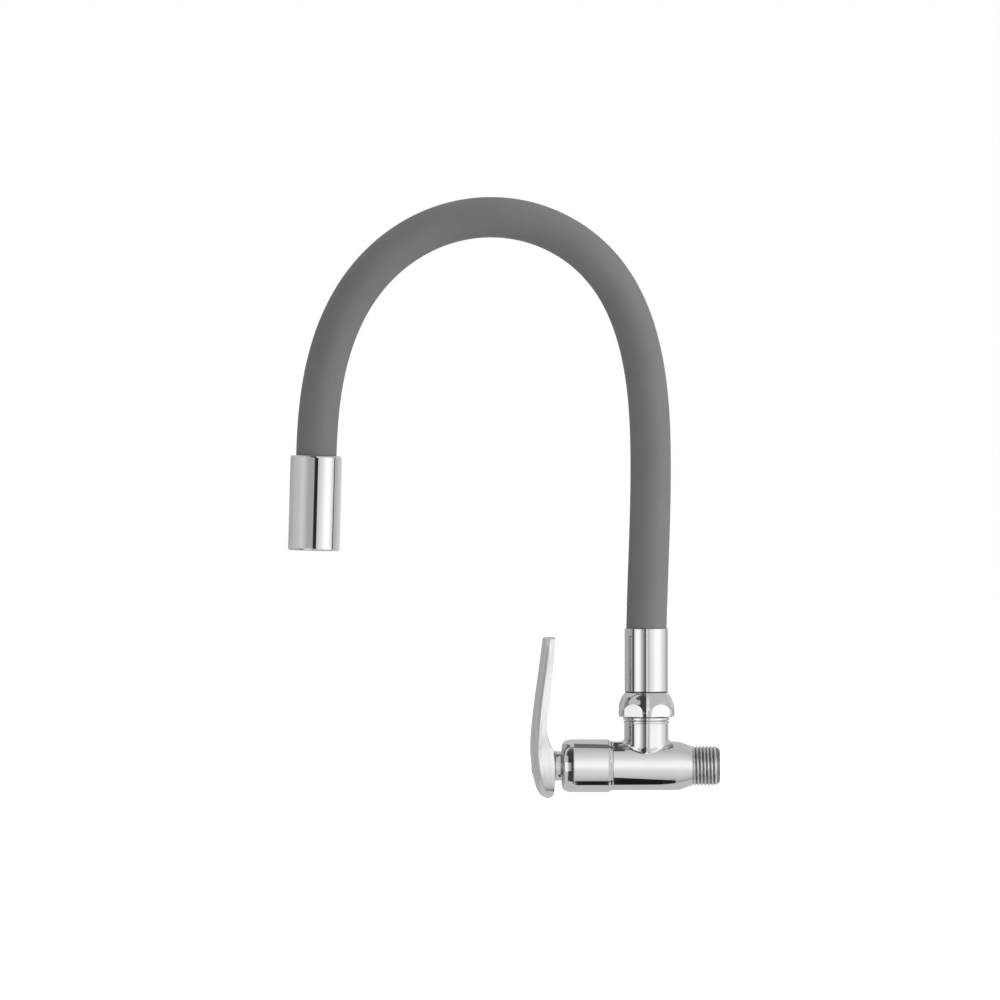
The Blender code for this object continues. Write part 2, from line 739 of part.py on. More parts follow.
# ---- swivel joint -----------------------------------------------------------------------------------
def slip_washer():
    low = OUTLET_SHOULDER_Z + OUTLET_SHOULDER + GAP
    outline = ring_outline(WASHER_R, OUTLET_THREAD_R + GAP, low, NUT_Z - GAP)
    add("slip_washer", turned(OUTLET, outline, BIG), "chrome", "valve")


def swivel_nut():
    corner = NUT_FLATS / math.sqrt(3)
    hexagon = [(corner * math.cos(a), corner * math.sin(a)) for a in hexagon_turns()]
    made = add("swivel_nut", prism(OUTLET, hexagon, NUT_Z, NUT_TOP_Z + mm), "chrome", "valve")
    outline = [(0, NUT_Z - mm), (NUT_TURNED[0][1] * mm, NUT_Z - mm)]
    outline += [(radius * mm, height * mm) for height, radius in NUT_TURNED[1:]]
    outline.append((0, NUT_TOP_Z))
    boolean(made, tool("swivel_nut_dome", turned(OUTLET, outline, 36), "valve"), "INTERSECT")
    bore = [
        (0, NUT_Z - CUT),
        (OUTLET_THREAD_R + GAP, NUT_Z - CUT),
        (OUTLET_THREAD_R + GAP, NUT_TOP_Z - NUT_WEB),
        (NUT_HOLE_R, NUT_TOP_Z - NUT_WEB),
        (NUT_HOLE_R, NUT_TOP_Z + CUT),
        (0, NUT_TOP_Z + CUT),
    ]
    boolean(made, tool("swivel_nut_bore", turned(OUTLET, bore, MID), "valve"), "DIFFERENCE")


def hexagon_turns():
    """Corner angles of the nut, one of which points along -Y."""
    return [-math.pi / 2 + math.pi / 3 * i for i in range(6)]


SPIGOT_R = 6.6 * mm
SPIGOT_FLANGE_R = 9.4 * mm
SPIGOT_FLANGE_THICK = 1.5 * mm
SPIGOT_NECK_R = 7.3 * mm
SPIGOT_NECK_Z = 45.6 * mm
SPIGOT_BARB_ZS = (46.4 * mm, 57.0 * mm, 57.6 * mm)
SPIGOT_GROOVE_R = 5.3 * mm
SPIGOT_GROOVE_HALF = 1.1 * mm
SPIGOT_O_RING_ZS = (20.0 * mm, 27.0 * mm)
SPIGOT_O_RING_MIDDLE_R = 6.2 * mm
SPIGOT_O_RING_THICK = 1.2 * mm
SLIP_RING_R = 9.3 * mm
SLIP_RING_BORE_R = 7.0 * mm
SLIP_RING_THICK = 0.9 * mm
LOWER_COLLAR_R = 10.5 * mm
LOWER_COLLAR_ZS = (50.0 * mm, 60.0 * mm)
LOWER_CRIMP_ZS = (48.0 * mm, 56.0 * mm)


def swivel_spigot():
    outline = [(TAIL_BORE_R, SOCKET_Z + GAP), (SPIGOT_R, SOCKET_Z + GAP)]
    for z in SPIGOT_O_RING_ZS:
        low, high = z - SPIGOT_GROOVE_HALF, z + SPIGOT_GROOVE_HALF
        outline += [(SPIGOT_R, low), (SPIGOT_GROOVE_R, low), (SPIGOT_GROOVE_R, high), (SPIGOT_R, high)]
    flange_top = NUT_TOP_Z - NUT_WEB - GAP
    barb_low, barb_high, barb_end = SPIGOT_BARB_ZS
    outline += [
        (SPIGOT_R, flange_top - SPIGOT_FLANGE_THICK),
        (SPIGOT_FLANGE_R, flange_top - SPIGOT_FLANGE_THICK),
        (SPIGOT_FLANGE_R, flange_top),
        (SPIGOT_NECK_R, flange_top),
        (SPIGOT_NECK_R, SPIGOT_NECK_Z),
        (BARB_R, barb_low),
        (BARB_R, barb_high),
        (TAIL_BORE_R, barb_end),
    ]
    add("swivel_spigot", turned(OUTLET, outline, SMALL), "brass", "spout_base")


def spigot_o_rings():
    for number, z in enumerate(SPIGOT_O_RING_ZS, 1):
        shape = o_ring(OUTLET, SPIGOT_O_RING_MIDDLE_R, SPIGOT_O_RING_THICK, z)
        add(f"spigot_o_ring_{number}", shape, "rubber", "spout_base")


def slip_ring():
    low = OUTLET_TOP_Z + GAP
    outline = ring_outline(SLIP_RING_R, SLIP_RING_BORE_R, low, low + SLIP_RING_THICK)
    add("slip_ring", turned(OUTLET, outline, SMALL), "white_plastic", "spout_base")


def lower_ferrule():
    outline = [
        (FERRULE_FOOT_R, FERRULE_Z),
        (FERRULE_R - FERRULE_EDGE, FERRULE_Z),
        (FERRULE_R, FERRULE_Z + FERRULE_EDGE),
        (FERRULE_R, FERRULE_TOP_Z - FERRULE_LIP),
        (FERRULE_R - FERRULE_LIP, FERRULE_TOP_Z),
        (FERRULE_MOUTH_R, FERRULE_TOP_Z),
        (FERRULE_MOUTH_R, FERRULE_FLOOR_Z),
        (FERRULE_FOOT_R, FERRULE_FLOOR_Z),
    ]
    add("lower_ferrule", turned(OUTLET, outline, BIG), "chrome", "spout_base")


def lower_core_collar():
    outline = ring_outline(LOWER_COLLAR_R, CORE_R + CORE_PLAY, *LOWER_COLLAR_ZS)
    add("lower_core_collar", turned(OUTLET, outline, SMALL), "brass", "spout_base")


def lower_crimp_sleeve():
    outline = ring_outline(CRIMP_R, CRIMP_BORE_R, *LOWER_CRIMP_ZS)
    add("lower_crimp_sleeve", turned(OUTLET, outline, SMALL), "steel", "spout_base")


# ---- flexible neck ----------------------------------------------------------------------------------
CORE_START = -18.0 * mm
CORE_END = NECK_LENGTH + 12.0 * mm
TUBE_START = -24.0 * mm
TUBE_END = NECK_LENGTH + 14.0 * mm
SLEEVE_START = -8.5 * mm
SLEEVE_END = NECK_LENGTH + 3.2 * mm
TUBE_FACES = 12
STATION_MARGIN = 3 * mm  # kept clear of stations beside a length's ends
STATION_STEP = 0.5 * mm


def core_segments():
    """Lengths of the stay-put core, set apart where the neck is taken to bend."""
    owners = ["spout_base"] + [name for name, _, _ in NECK_JOINTS]
    cuts = [station for _, station, _ in NECK_JOINTS]
    starts = [CORE_START] + [cut + CORE_GAP / 2 for cut in cuts]
    ends = [cut - CORE_GAP / 2 for cut in cuts] + [CORE_END]
    for number, (owner, start, end) in enumerate(zip(owners, starts, ends), 1):
        shape = swept_tube(neck_stations(start, end), CORE_R, CORE_BORE_R, SMALL)
        add(f"gooseneck_core_{number}", shape, "steel", owner)


def water_tube():
    shape = swept_tube(neck_stations(TUBE_START, TUBE_END), TUBE_R, TUBE_BORE_R, TUBE_FACES)
    add("water_tube", shape, "white_plastic", "spout_base")


def silicone_sleeve():
    shape = swept_tube(neck_stations(SLEEVE_START, SLEEVE_END), SLEEVE_R, SLEEVE_BORE_R, MID)
    add("silicone_sleeve", shape, "silicone", "spout_base")


# ---- spray head -------------------------------------------------------------------------------------
# Heights here run down the head's axis from its top.
UPPER_COLLAR_R = 11.6 * mm
UPPER_COLLAR_LOW = 22.0 * mm
UPPER_COLLAR_STEP = (6.0 * mm, 12.4 * mm)  # radius and height
TAIL_END = 3.0 * mm
TAIL_BARB = (3.6 * mm, 14.6 * mm)
TAIL_STEM = (5.7 * mm, 22.4 * mm)  # radius and height
TAIL_FLANGE = (8.4 * mm, 24.8 * mm)
UPPER_CRIMP = (2.0 * mm, 11.0 * mm)
AERATOR_SEAL_R = 11.5 * mm
AERATOR_SEAL_BORE_R = 8.6 * mm
AERATOR_SEAL = (30.4 * mm, 32.4 * mm)
AERATOR_R = 11.6 * mm
AERATOR_BORE_R = 10.2 * mm
AERATOR_MOUTH_R = 8.8 * mm
AERATOR = (32.7 * mm, 48.3 * mm)
AERATOR_WEB = 1.9 * mm
INSERT_R = 9.9 * mm
REGULATOR = (34.9 * mm, 38.6 * mm)
REGULATOR_HOLE_R = 1.6 * mm
REGULATOR_PORT = (3.6 * mm, 7.4 * mm)
SCREEN_TOPS = (39.2 * mm, 40.8 * mm)
SCREEN_THICK = 0.6 * mm
SCREEN_PITCH = 4.2 * mm
SCREEN_HOLE = 3.2 * mm
GRID_TOP = 45.6 * mm
GRID_THICK = 2.0 * mm
GRID_PITCH = 3.3 * mm
GRID_HOLE = 2.5 * mm
GRID_RIM = 0.7 * mm


def head_shell():
    inner = HEAD_R - HEAD_WALL
    soft = 0.3 * HEAD_EDGE
    outline = [
        (HEAD_TOP_HOLE_R, 0),
        (HEAD_R - HEAD_EDGE, 0),
        (HEAD_R - soft, soft),
        (HEAD_R, HEAD_EDGE),
        (HEAD_R, HEAD_LENGTH - HEAD_EDGE),
        (HEAD_R - soft, HEAD_LENGTH - soft),
        (HEAD_R - HEAD_EDGE, HEAD_LENGTH),
        (inner, HEAD_LENGTH),
        (inner, HEAD_TOP_WEB),
        (HEAD_TOP_HOLE_R, HEAD_TOP_WEB),
    ]
    add("head_shell", turned(HEAD, outline, BIG), "chrome", "spray_end")


def upper_core_collar():
    top = HEAD_TOP_WEB + GAP
    step_r, step = UPPER_COLLAR_STEP
    outline = [
        (CORE_R + CORE_PLAY, top),
        (UPPER_COLLAR_R, top),
        (UPPER_COLLAR_R, UPPER_COLLAR_LOW),
        (step_r, UPPER_COLLAR_LOW),
        (step_r, step),
        (CORE_R + CORE_PLAY, step),
    ]
    add("upper_core_collar", turned(HEAD, outline, MID), "brass", "spray_end")


def upper_hose_tail():
    barb_top, barb_low = TAIL_BARB
    stem_r, stem_low = TAIL_STEM
    flange_r, flange_low = TAIL_FLANGE
    outline = [
        (TAIL_BORE_R, TAIL_END),
        (BARB_R, barb_top),
        (BARB_R, barb_low),
        (stem_r, barb_low),
        (stem_r, stem_low),
        (flange_r, stem_low),
        (flange_r, flange_low),
        (TAIL_BORE_R, flange_low),
    ]
    add("upper_hose_tail", turned(HEAD, outline, SMALL), "brass", "spray_end")


def upper_crimp_sleeve():
    outline = ring_outline(CRIMP_R, CRIMP_BORE_R, *UPPER_CRIMP)
    add("upper_crimp_sleeve", turned(HEAD, outline, SMALL), "steel", "spray_end")


def aerator_seal():
    outline = ring_outline(AERATOR_SEAL_R, AERATOR_SEAL_BORE_R, *AERATOR_SEAL)
    add("aerator_seal", turned(HEAD, outline, SMALL), "rubber", "spray_end")


def aerator_housing():
    top, low = AERATOR
    outline = [
        (AERATOR_MOUTH_R, top),
        (AERATOR_R, top),
        (AERATOR_R, low),
        (AERATOR_BORE_R, low),
        (AERATOR_BORE_R, top + AERATOR_WEB),
        (AERATOR_MOUTH_R, top + AERATOR_WEB),
    ]
    add("aerator_housing", turned(HEAD, outline, MID), "grey_plastic", "spray_end")


def flow_regulator():
    top, low = REGULATOR
    outline = ring_outline(INSERT_R, REGULATOR_HOLE_R, top, low)
    made = add("flow_regulator", turned(HEAD, outline, SMALL), "white_plastic", "spray_end")
    for number in range(4):
        points = sector(*REGULATOR_PORT, math.pi / 2 * number, math.radians(48), 3)
        cutter = prism(HEAD, points, top - CUT, low + CUT)
        boolean(made, tool(f"flow_regulator_port_{number + 1}", cutter, "spray_end"), "DIFFERENCE")


def grid_plate(name, top, thick, pitch, hole, kind):
    """A round plate with square holes on a square pitch, wherever a whole hole fits."""
    plate = turned(HEAD, rod_outline(INSERT_R, top, top + thick), SMALL)
    made = add(name, plate, kind, "spray_end")
    count = int(INSERT_R / pitch)
    cutters = bmesh.new()
    for row in range(-count, count + 1):
        for column in range(-count, count + 1):
            x, y = row * pitch, column * pitch
            half = hole / 2
            if math.hypot(abs(x) + half, abs(y) + half) > INSERT_R - GRID_RIM:
                continue
            square = [(x + u, y + v) for u, v in oblong(half, half)]
            joined(cutters, prism(HEAD, square, top - CUT, top + thick + CUT))
    boolean(made, tool(name + "_holes", cutters, "spray_end"), "DIFFERENCE")


def screens():
    for number, top in enumerate(SCREEN_TOPS, 1):
        grid_plate(f"aerator_screen_{number}", top, SCREEN_THICK, SCREEN_PITCH, SCREEN_HOLE, "steel")
    grid_plate("outlet_grid", GRID_TOP, GRID_THICK, GRID_PITCH, GRID_HOLE, "grey_plastic")


# ---- assembly ---------------------------------------------------------------------------------------
def build():
    for old in list(bpy.data.objects):
        bpy.data.objects.remove(old)
    body("valve", (0, 0, 0))
    body("handle", (BONNET_END_X, 0, 0), "valve")
    body("spout_base", (SPOUT_X, 0, FERRULE_Z), "valve")
    parent = "spout_base"
    for name, station, _ in NECK_JOINTS:
        body(name, neck_point(station)[0], parent)
        parent = name

    valve_body()
    bonnet_cap()
    cartridge_housing()
    housing_gasket()
    seat_seal()
    ceramic_disc("fixed_disc", FIXED_DISC_X, "valve", math.pi / 2, slot=False)
    slip_washer()
    swivel_nut()

    ceramic_disc("turning_disc", TURNING_DISC_X, "handle", 0.0, slot=True)
    spindle()
    spindle_o_rings()
    spindle_clip()
    lever_handle()
    handle_screw()
    handle_plug()

    swivel_spigot()
    spigot_o_rings()
    slip_ring()
    lower_ferrule()
    lower_core_collar()
    lower_crimp_sleeve()
    core_segments()
    water_tube()
    silicone_sleeve()

    head_shell()
    upper_core_collar()
    upper_hose_tail()
    upper_crimp_sleeve()
    aerator_seal()
    aerator_housing()
    flow_regulator()
    screens()


build()
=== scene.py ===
"""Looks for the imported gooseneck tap: smooth chrome, silicone and aerator pieces over the CAD frame,
procedural materials on every piece and node, and a plain studio. Metres, +Z up, in the CAD's own frame."""

import json
import math

import bpy
from mathutils import Matrix, Vector


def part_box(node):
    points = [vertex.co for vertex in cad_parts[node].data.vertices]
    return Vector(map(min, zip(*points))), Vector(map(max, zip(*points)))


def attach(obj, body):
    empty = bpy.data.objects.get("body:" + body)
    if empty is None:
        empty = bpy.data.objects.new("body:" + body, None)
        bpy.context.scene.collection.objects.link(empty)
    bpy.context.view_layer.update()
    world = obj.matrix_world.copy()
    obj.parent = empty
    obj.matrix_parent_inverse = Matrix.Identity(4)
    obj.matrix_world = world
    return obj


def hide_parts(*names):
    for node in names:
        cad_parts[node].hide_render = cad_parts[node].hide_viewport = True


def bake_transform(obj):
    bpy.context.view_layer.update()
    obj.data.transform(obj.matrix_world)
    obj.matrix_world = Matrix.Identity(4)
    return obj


mm = 0.001
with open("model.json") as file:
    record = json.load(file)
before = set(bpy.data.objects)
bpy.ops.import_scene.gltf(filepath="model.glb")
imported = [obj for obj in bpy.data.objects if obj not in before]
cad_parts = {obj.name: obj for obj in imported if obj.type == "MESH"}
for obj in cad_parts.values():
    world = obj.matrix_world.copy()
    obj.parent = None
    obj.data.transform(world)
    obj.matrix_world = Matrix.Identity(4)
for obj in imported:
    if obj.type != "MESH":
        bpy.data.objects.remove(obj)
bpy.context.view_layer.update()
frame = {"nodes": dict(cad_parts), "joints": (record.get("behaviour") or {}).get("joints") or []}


# ---- places, from the frame -------------------------------------------------------------------------
def joint(name):
    return next(j for j in frame["joints"] if j["name"] == name)


BARREL_R = 12.65 * mm
THREAD_R = 10.48 * mm
THREAD_PITCH = 1.814 * mm
THREAD_DEPTH = 1.0 * mm
THREAD_START_X = -15.3 * mm
THREAD_CHAMFER = 2.3 * mm
TAPER_START_X = -23.3 * mm
BARREL_END_X = -55.0 * mm
BARREL_LIP_X = -62.0 * mm
BARREL_LIP_R = 11.55 * mm
INLET_BORE_R = 7.0 * mm
SEAT_X = -27.4 * mm
BONNET_R = 13.7 * mm
BONNET_END_X = joint("handle_turn")["pos_m"][0]
BONNET_HOLE_R = 8.1 * mm
BONNET_ROUND = (7.0 * mm, 5.3 * mm)  # its end's rounding along and across the axis
BONNET_SHOULDER_X = -57.4 * mm
BONNET_NECK = (12.9 * mm, -56.2 * mm)  # where its slope down to the barrel ends: radius and place
BONNET_FOOT_R = 12.75 * mm
BONNET_GAP = 0.06 * mm  # between it and the barrel
BONNET_TILT = 0.2  # the share of its slope that the shoulder's shading shows
TAPER_TILT = 0.15  # the same for the barrel's taper
EASE = 0.3 * mm  # a ring this far past a curve keeps the straight run's shading flat

SPOUT_X = joint("spout_swivel")["pos_m"][0]
OUTLET_R = 11.5 * mm
OUTLET_FILLET = 2.0 * mm
FOOT_DROP = 0.7 * mm  # how much nearer the outlet's axis its foot starts at the front and back
FOOT_RISE = 4.3 * mm  # how much higher it ends there
OUTLET_SHOULDER_Z = 22.2 * mm
OUTLET_BEAD = 0.4 * mm  # how far the shoulder stands out
OUTLET_NECK = 0.5 * mm  # how far the neck above it steps in
WASHER_R = 12.1 * mm
WASHER_BORE_R = 10.4 * mm
NUT_FLATS = 28.5 * mm
NUT_Z, NUT_TOP_Z = (corner.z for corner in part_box("swivel_nut"))
# The nut's turned outside, as (height, radius) in millimetres.
NUT_TURNED = ((25.5, 15.2), (26.8, 15.35), (28.3, 15.33), (29.5, 15.15), (30.6, 14.86), (31.4, 14.55),
              (32.2, 14.2), (33.2, 13.85), (34.3, 13.42), (35.8, 12.7), (37.0, 11.85), (38.1, 10.8))
FERRULE_R = 11.35 * mm
FERRULE_Z, FERRULE_TOP_Z = (corner.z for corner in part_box("lower_ferrule"))
FERRULE_BORE_R = 7.8 * mm

NECK_LEAN = math.radians(-1.2)
NECK_BEND = (
    (0 * mm, -0.9),
    (90 * mm, 1.6),
    (140 * mm, 6.0),
    (190 * mm, 13.6),
    (270 * mm, 12.8),
    (335 * mm, 10.9),
    (427 * mm, 2.1),
)  # radians per metre at stations along the neck
NECK_LENGTH = NECK_BEND[-1][0]
SLEEVE_R = 10.45 * mm
SLEEVE_BORE_R = 8.4 * mm
SLEEVE_ENDS = (-8.5 * mm, NECK_LENGTH + 3.2 * mm)
TUBE_R = 4.8 * mm
TUBE_BORE_R = 3.8 * mm
TUBE_ENDS = (-24 * mm, NECK_LENGTH + 14 * mm)

HEAD_R = 13.35 * mm
HEAD_LENGTH = 49.0 * mm
HEAD_WALL = 1.4 * mm
HEAD_EDGE = 1.1 * mm  # its outer edges' rounding
GRID_R = 10.0 * mm
GRID_PITCH = 1.65 * mm
GRID_BAR = 0.4 * mm
GRID_HEIGHTS = (45.7 * mm, 47.6 * mm)
RIM_R = 11.6 * mm

LEVER_TOP_Z = 66.5
LEVER_BOTTOM_Z = -16.7
LEVER_FRONT = ((-16.7, -89.6), (-14.6, -92.8), (-8.0, -95.6), (2.0, -97.3), (10.0, -97.8),
               (20.0, -97.2), (34.0, -95.6), (50.0, -93.4), (66.5, -91.3))
LEVER_BACK = ((-16.7, -88.0), (-14.6, -85.7), (-8.0, -85.1), (2.0, -85.1), (8.0, -85.9),
              (14.0, -88.2), (22.0, -89.1), (34.0, -87.7), (50.0, -86.0), (66.5, -84.5))
LEVER_HALF_WIDTH = ((-16.7, 2.5), (-15.6, 6.4), (-12.5, 10.3), (-7.0, 13.0), (0.0, 13.8), (8.0, 13.0),
                    (18.0, 10.6), (30.0, 9.0), (46.0, 8.8), (60.0, 9.4), (66.5, 9.2))
LEVER_CROWN = 4.1
LEVER_TOP_ROUND = 1.3
LEVER_BOTTOM_ROUND = 0.8
STEM_R = 7.65 * mm
STEM_END_X = -79.4 * mm
SHAFT_HOLE_R = 4.15 * mm
PLUG_R = 4.5 * mm

ROUND = 128  # segments round a visible turned piece


def frame_along(point, direction):
    """A matrix whose Z runs along direction from point, with its X in the XZ plane."""
    z = Vector(direction).normalized()
    y = Vector((0, 1, 0)) if abs(z.y) < 0.5 else Vector((1, 0, 0))
    x = y.cross(z).normalized()
    y = z.cross(x)
    turn = Matrix((x, y, z)).transposed().to_4x4()
    return Matrix.Translation(point) @ turn


def bend_at(station):
    for (s0, k0), (s1, k1) in zip(NECK_BEND, NECK_BEND[1:]):
        if station <= s1:
            return k0 + (k1 - k0) * (station - s0) / (s1 - s0)
    return 0.0


def neck_point(station):
    """Centre and unit direction of the neck at a station, which the CAD works out in the same way."""
    steps = 240
    heading = math.pi / 2 + NECK_LEAN
    place = Vector((SPOUT_X, 0, FERRULE_TOP_Z))
    if station < 0:
        return place + Vector((0, 0, station)), Vector((0, 0, 1))
    inside = min(station, NECK_LENGTH)
    step = inside / steps
    for i in range(steps):
        middle = heading + bend_at((i + 0.25) * step) * step / 2
        place += Vector((math.cos(middle), 0, math.sin(middle))) * step
        heading += bend_at((i + 0.5) * step) * step
    along = Vector((math.cos(heading), 0, math.sin(heading)))
    return place + along * (station - inside), along


VALVE = frame_along((0, 0, 0), (1, 0, 0))
OUTLET = frame_along((SPOUT_X, 0, 0), (0, 0, 1))
HEAD = frame_along(*neck_point(NECK_LENGTH))


def curve_through(points, at):
    """A smooth curve through (place, value) points in millimetres, read at one place, in millimetres."""
    places = [p for p, _ in points]
    values = [v for _, v in points]
    last = len(points) - 1
    i = max(n for n in range(last) if places[n] <= at or n == 0)
    width = places[i + 1] - places[i]

    def slope(n):
        a, b = max(n - 1, 0), min(n + 1, last)
        return (values[b] - values[a]) / (places[b] - places[a])

    t = (at - places[i]) / width
    return (
        values[i] * (1 + 2 * t) * (1 - t) ** 2
        + values[i + 1] * t * t * (3 - 2 * t)
        + slope(i) * width * t * (1 - t) ** 2
        - slope(i + 1) * width * t * t * (1 - t)
    )


# ---- materials --------------------------------------------------------------------------------------
class Shader:
    """A node material with a Principled shader, object-space coordinates and a few shorthands."""

    def __init__(self, name):
        self.material = bpy.data.materials.new(name)
        self.material.use_nodes = True
        self.tree = self.material.node_tree
        self.shader = self.tree.nodes["Principled BSDF"]
        self.place = self.add("ShaderNodeTexCoord").outputs["Object"]

    def add(self, kind, **values):
        node = self.tree.nodes.new(kind)
        for key, value in values.items():
            setattr(node, key, value)
        return node

    def link(self, output, socket):
        self.tree.links.new(output, socket)

    def set(self, **values):
        for key, value in values.items():
            self.shader.inputs[key.replace("_", " ")].default_value = value

    def noise(self, scale, detail=4.0, roughness=0.55, stretch=(1, 1, 1)):
        mapping = self.add("ShaderNodeMapping")
        mapping.inputs["Scale"].default_value = stretch
        self.link(self.place, mapping.inputs["Vector"])
        node = self.add("ShaderNodeTexNoise")
        node.inputs["Scale"].default_value = scale
        node.inputs["Detail"].default_value = detail
        node.inputs["Roughness"].default_value = roughness
        self.link(mapping.outputs["Vector"], node.inputs["Vector"])
        return node.outputs["Fac"]

    def spread(self, value, low, high, new_low, new_high):
        node = self.add("ShaderNodeMapRange")
        for socket, number in zip(("From Min", "From Max", "To Min", "To Max"), (low, high, new_low, new_high)):
            node.inputs[socket].default_value = number
        self.link(value, node.inputs["Value"])
        return node.outputs["Result"]

    def colours(self, value, *stops):
        node = self.add("ShaderNodeValToRGB")
        ramp = node.color_ramp
        while len(ramp.elements) < len(stops):
            ramp.elements.new(0.5)
        for element, (place, colour) in zip(ramp.elements, stops):
            element.position = place
            element.color = (*colour, 1)
        self.link(value, node.inputs["Fac"])
        return node.outputs["Color"]

    def bump(self, value, strength, distance):
        node = self.add("ShaderNodeBump")
        node.inputs["Strength"].default_value = strength
        node.inputs["Distance"].default_value = distance
        self.link(value, node.inputs["Height"])
        self.link(node.outputs["Normal"], self.shader.inputs["Normal"])


CHROME_SHARE = 0.68  # how much light the plating reflects


def chrome():
    """Polished plate: a faint cloud of handling marks in its gloss, hairline wipe marks and a soft ripple."""
    polish = 0.03
    made = Shader("chrome")
    made.set(Metallic=1.0)
    cloud = made.noise(38, 5)
    wipes = made.noise(900, 2, stretch=(1, 1, 0.06))
    made.link(
        made.colours(cloud, (0.3, (0.66, 0.663, 0.67)), (0.7, (0.7, 0.702, 0.708))),
        made.shader.inputs["Base Color"],
    )
    marks = made.add("ShaderNodeMath", operation="MULTIPLY")
    made.link(cloud, marks.inputs[0])
    made.link(wipes, marks.inputs[1])
    made.link(
        made.spread(marks.outputs[0], 0.1, 0.5, polish, polish + 0.05),
        made.shader.inputs["Roughness"],
    )
    made.bump(made.noise(170, 1), 0.02, 0.02 * mm)
    return made.material


def thread_finish():
    """Plating on a cut thread: its base colour painted darker with depth into the roots as painted shade and
    lighter at the crests, with random grime noise, and chatter across the flanks.
    """
    made = Shader("thread_chrome")
    made.set(Metallic=1.0)
    axis = made.add("ShaderNodeVectorMath", operation="MULTIPLY")
    made.link(made.place, axis.inputs[0])
    axis.inputs[1].default_value = (0, 1, 1)
    reach = made.add("ShaderNodeVectorMath", operation="LENGTH")
    made.link(axis.outputs[0], reach.inputs[0])
    grime = made.noise(420, 4, 0.7)
    height = made.spread(reach.outputs["Value"], THREAD_R - THREAD_DEPTH, THREAD_R, 0, 1)
    # painted shade: the base colour darkens with depth into the thread's roots, plus random grime noise
    root_shade_and_grime = made.add("ShaderNodeMath", operation="MULTIPLY_ADD")
    made.link(grime, root_shade_and_grime.inputs[0])
    root_shade_and_grime.inputs[1].default_value = 0.7
    made.link(height, root_shade_and_grime.inputs[2])
    colour = made.colours(
        root_shade_and_grime.outputs[0],
        (0.3, (0.16, 0.16, 0.163)),
        (0.6, (0.42, 0.42, 0.425)),
        (0.95, (0.72, 0.72, 0.725)),
    )
    made.link(colour, made.shader.inputs["Base Color"])
    made.link(made.spread(root_shade_and_grime.outputs[0], 0.4, 1.1, 0.3, 0.09), made.shader.inputs["Roughness"])
    made.bump(made.noise(1500, 2, stretch=(1, 0.3, 0.3)), 0.25, 0.05 * mm)
    return made.material


def silicone():
    """Matt grey silicone: fine grain and a little dust."""
    made = Shader("silicone")
    grain = made.noise(2600, 3)
    cloud = made.noise(24, 4)
    made.link(
        made.colours(cloud, (0.25, (0.132, 0.133, 0.135)), (0.75, (0.158, 0.159, 0.161))),
        made.shader.inputs["Base Color"],
    )
    made.link(made.spread(grain, 0.3, 0.7, 0.52, 0.66), made.shader.inputs["Roughness"])
    made.set(Specular_IOR_Level=0.35)
    made.bump(grain, 0.22, 0.05 * mm)
    return made.material


def plain(name, low, high, rough, metal=0.0, grain=900, stretch=(1, 1, 1), bump=0.1):
    """A two-tone procedural finish with its own grain, for machined, moulded and ceramic pieces."""
    made = Shader(name)
    made.set(Metallic=metal)
    cloud = made.noise(60, 5)
    fine = made.noise(grain, 3, stretch=stretch)
    made.link(made.colours(cloud, (0.3, low), (0.7, high)), made.shader.inputs["Base Color"])
    made.link(
        made.spread(fine, 0.3, 0.7, rough - 0.07, rough + 0.07), made.shader.inputs["Roughness"]
    )
    made.bump(fine, bump, 0.03 * mm)
    return made.material


CHROME = chrome()
THREAD_CHROME = thread_finish()
SILICONE = silicone()
BRASS = plain("brass", (0.62, 0.44, 0.19), (0.76, 0.57, 0.27), 0.28, 1.0, 1500, (1, 1, 0.1))
STEEL = plain("stainless_steel", (0.5, 0.5, 0.51), (0.62, 0.62, 0.63), 0.3, 1.0, 1500, (1, 1, 0.1))
RUBBER = plain("black_rubber", (0.018, 0.018, 0.019), (0.035, 0.035, 0.035), 0.62)
CERAMIC = plain("lapped_ceramic", (0.78, 0.77, 0.73), (0.86, 0.85, 0.81), 0.22, bump=0.03)
WHITE_PLASTIC = plain("white_plastic", (0.74, 0.74, 0.72), (0.82, 0.82, 0.8), 0.42, bump=0.06)
GREY_PLASTIC = plain("grey_plastic", (0.2, 0.2, 0.21), (0.27, 0.27, 0.28), 0.45, bump=0.08)

NODE_FINISHES = (
    (BRASS, "cartridge_housing spindle swivel_spigot lower_core_collar upper_core_collar upper_hose_tail"),
    (STEEL, "spindle_clip handle_screw lower_crimp_sleeve upper_crimp_sleeve"),
    (STEEL, "aerator_screen_1 aerator_screen_2"),
    (STEEL, " ".join(f"gooseneck_core_{number}" for number in range(1, 7))),
    (RUBBER, "housing_gasket seat_seal aerator_seal"),
    (RUBBER, "spindle_o_ring_1 spindle_o_ring_2 spigot_o_ring_1 spigot_o_ring_2"),
    (CERAMIC, "fixed_disc turning_disc"),
    (WHITE_PLASTIC, "slip_ring water_tube flow_regulator"),
    (GREY_PLASTIC, "aerator_housing outlet_grid"),
    (SILICONE, "silicone_sleeve"),
    (CHROME, "valve_body bonnet_cap slip_washer swivel_nut lower_ferrule lever_handle handle_plug head_shell"),
)
for finish, names in NODE_FINISHES:
    for name in names.split():
        slots = frame["nodes"][name].data.materials
        slots.clear()
        slots.append(finish)


# ---- mesh tools -------------------------------------------------------------------------------------
def piece(name, points, faces, finish, body, replaced=(), normals=None):
    """A shaded mesh piece that rides on a CAD body and stands for CAD nodes."""
    data = bpy.data.meshes.new(name)
    data.from_pydata(points, [], faces)
    data.validate()
    data.shade_smooth()
    data.materials.append(finish)
    if normals:
        data.normals_split_custom_set_from_vertices(normals)
    made = bpy.data.objects.new(name, data)
    bpy.context.scene.collection.objects.link(made)
    if body:
        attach(made, body)
    if replaced:
        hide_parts(*replaced)
    return made


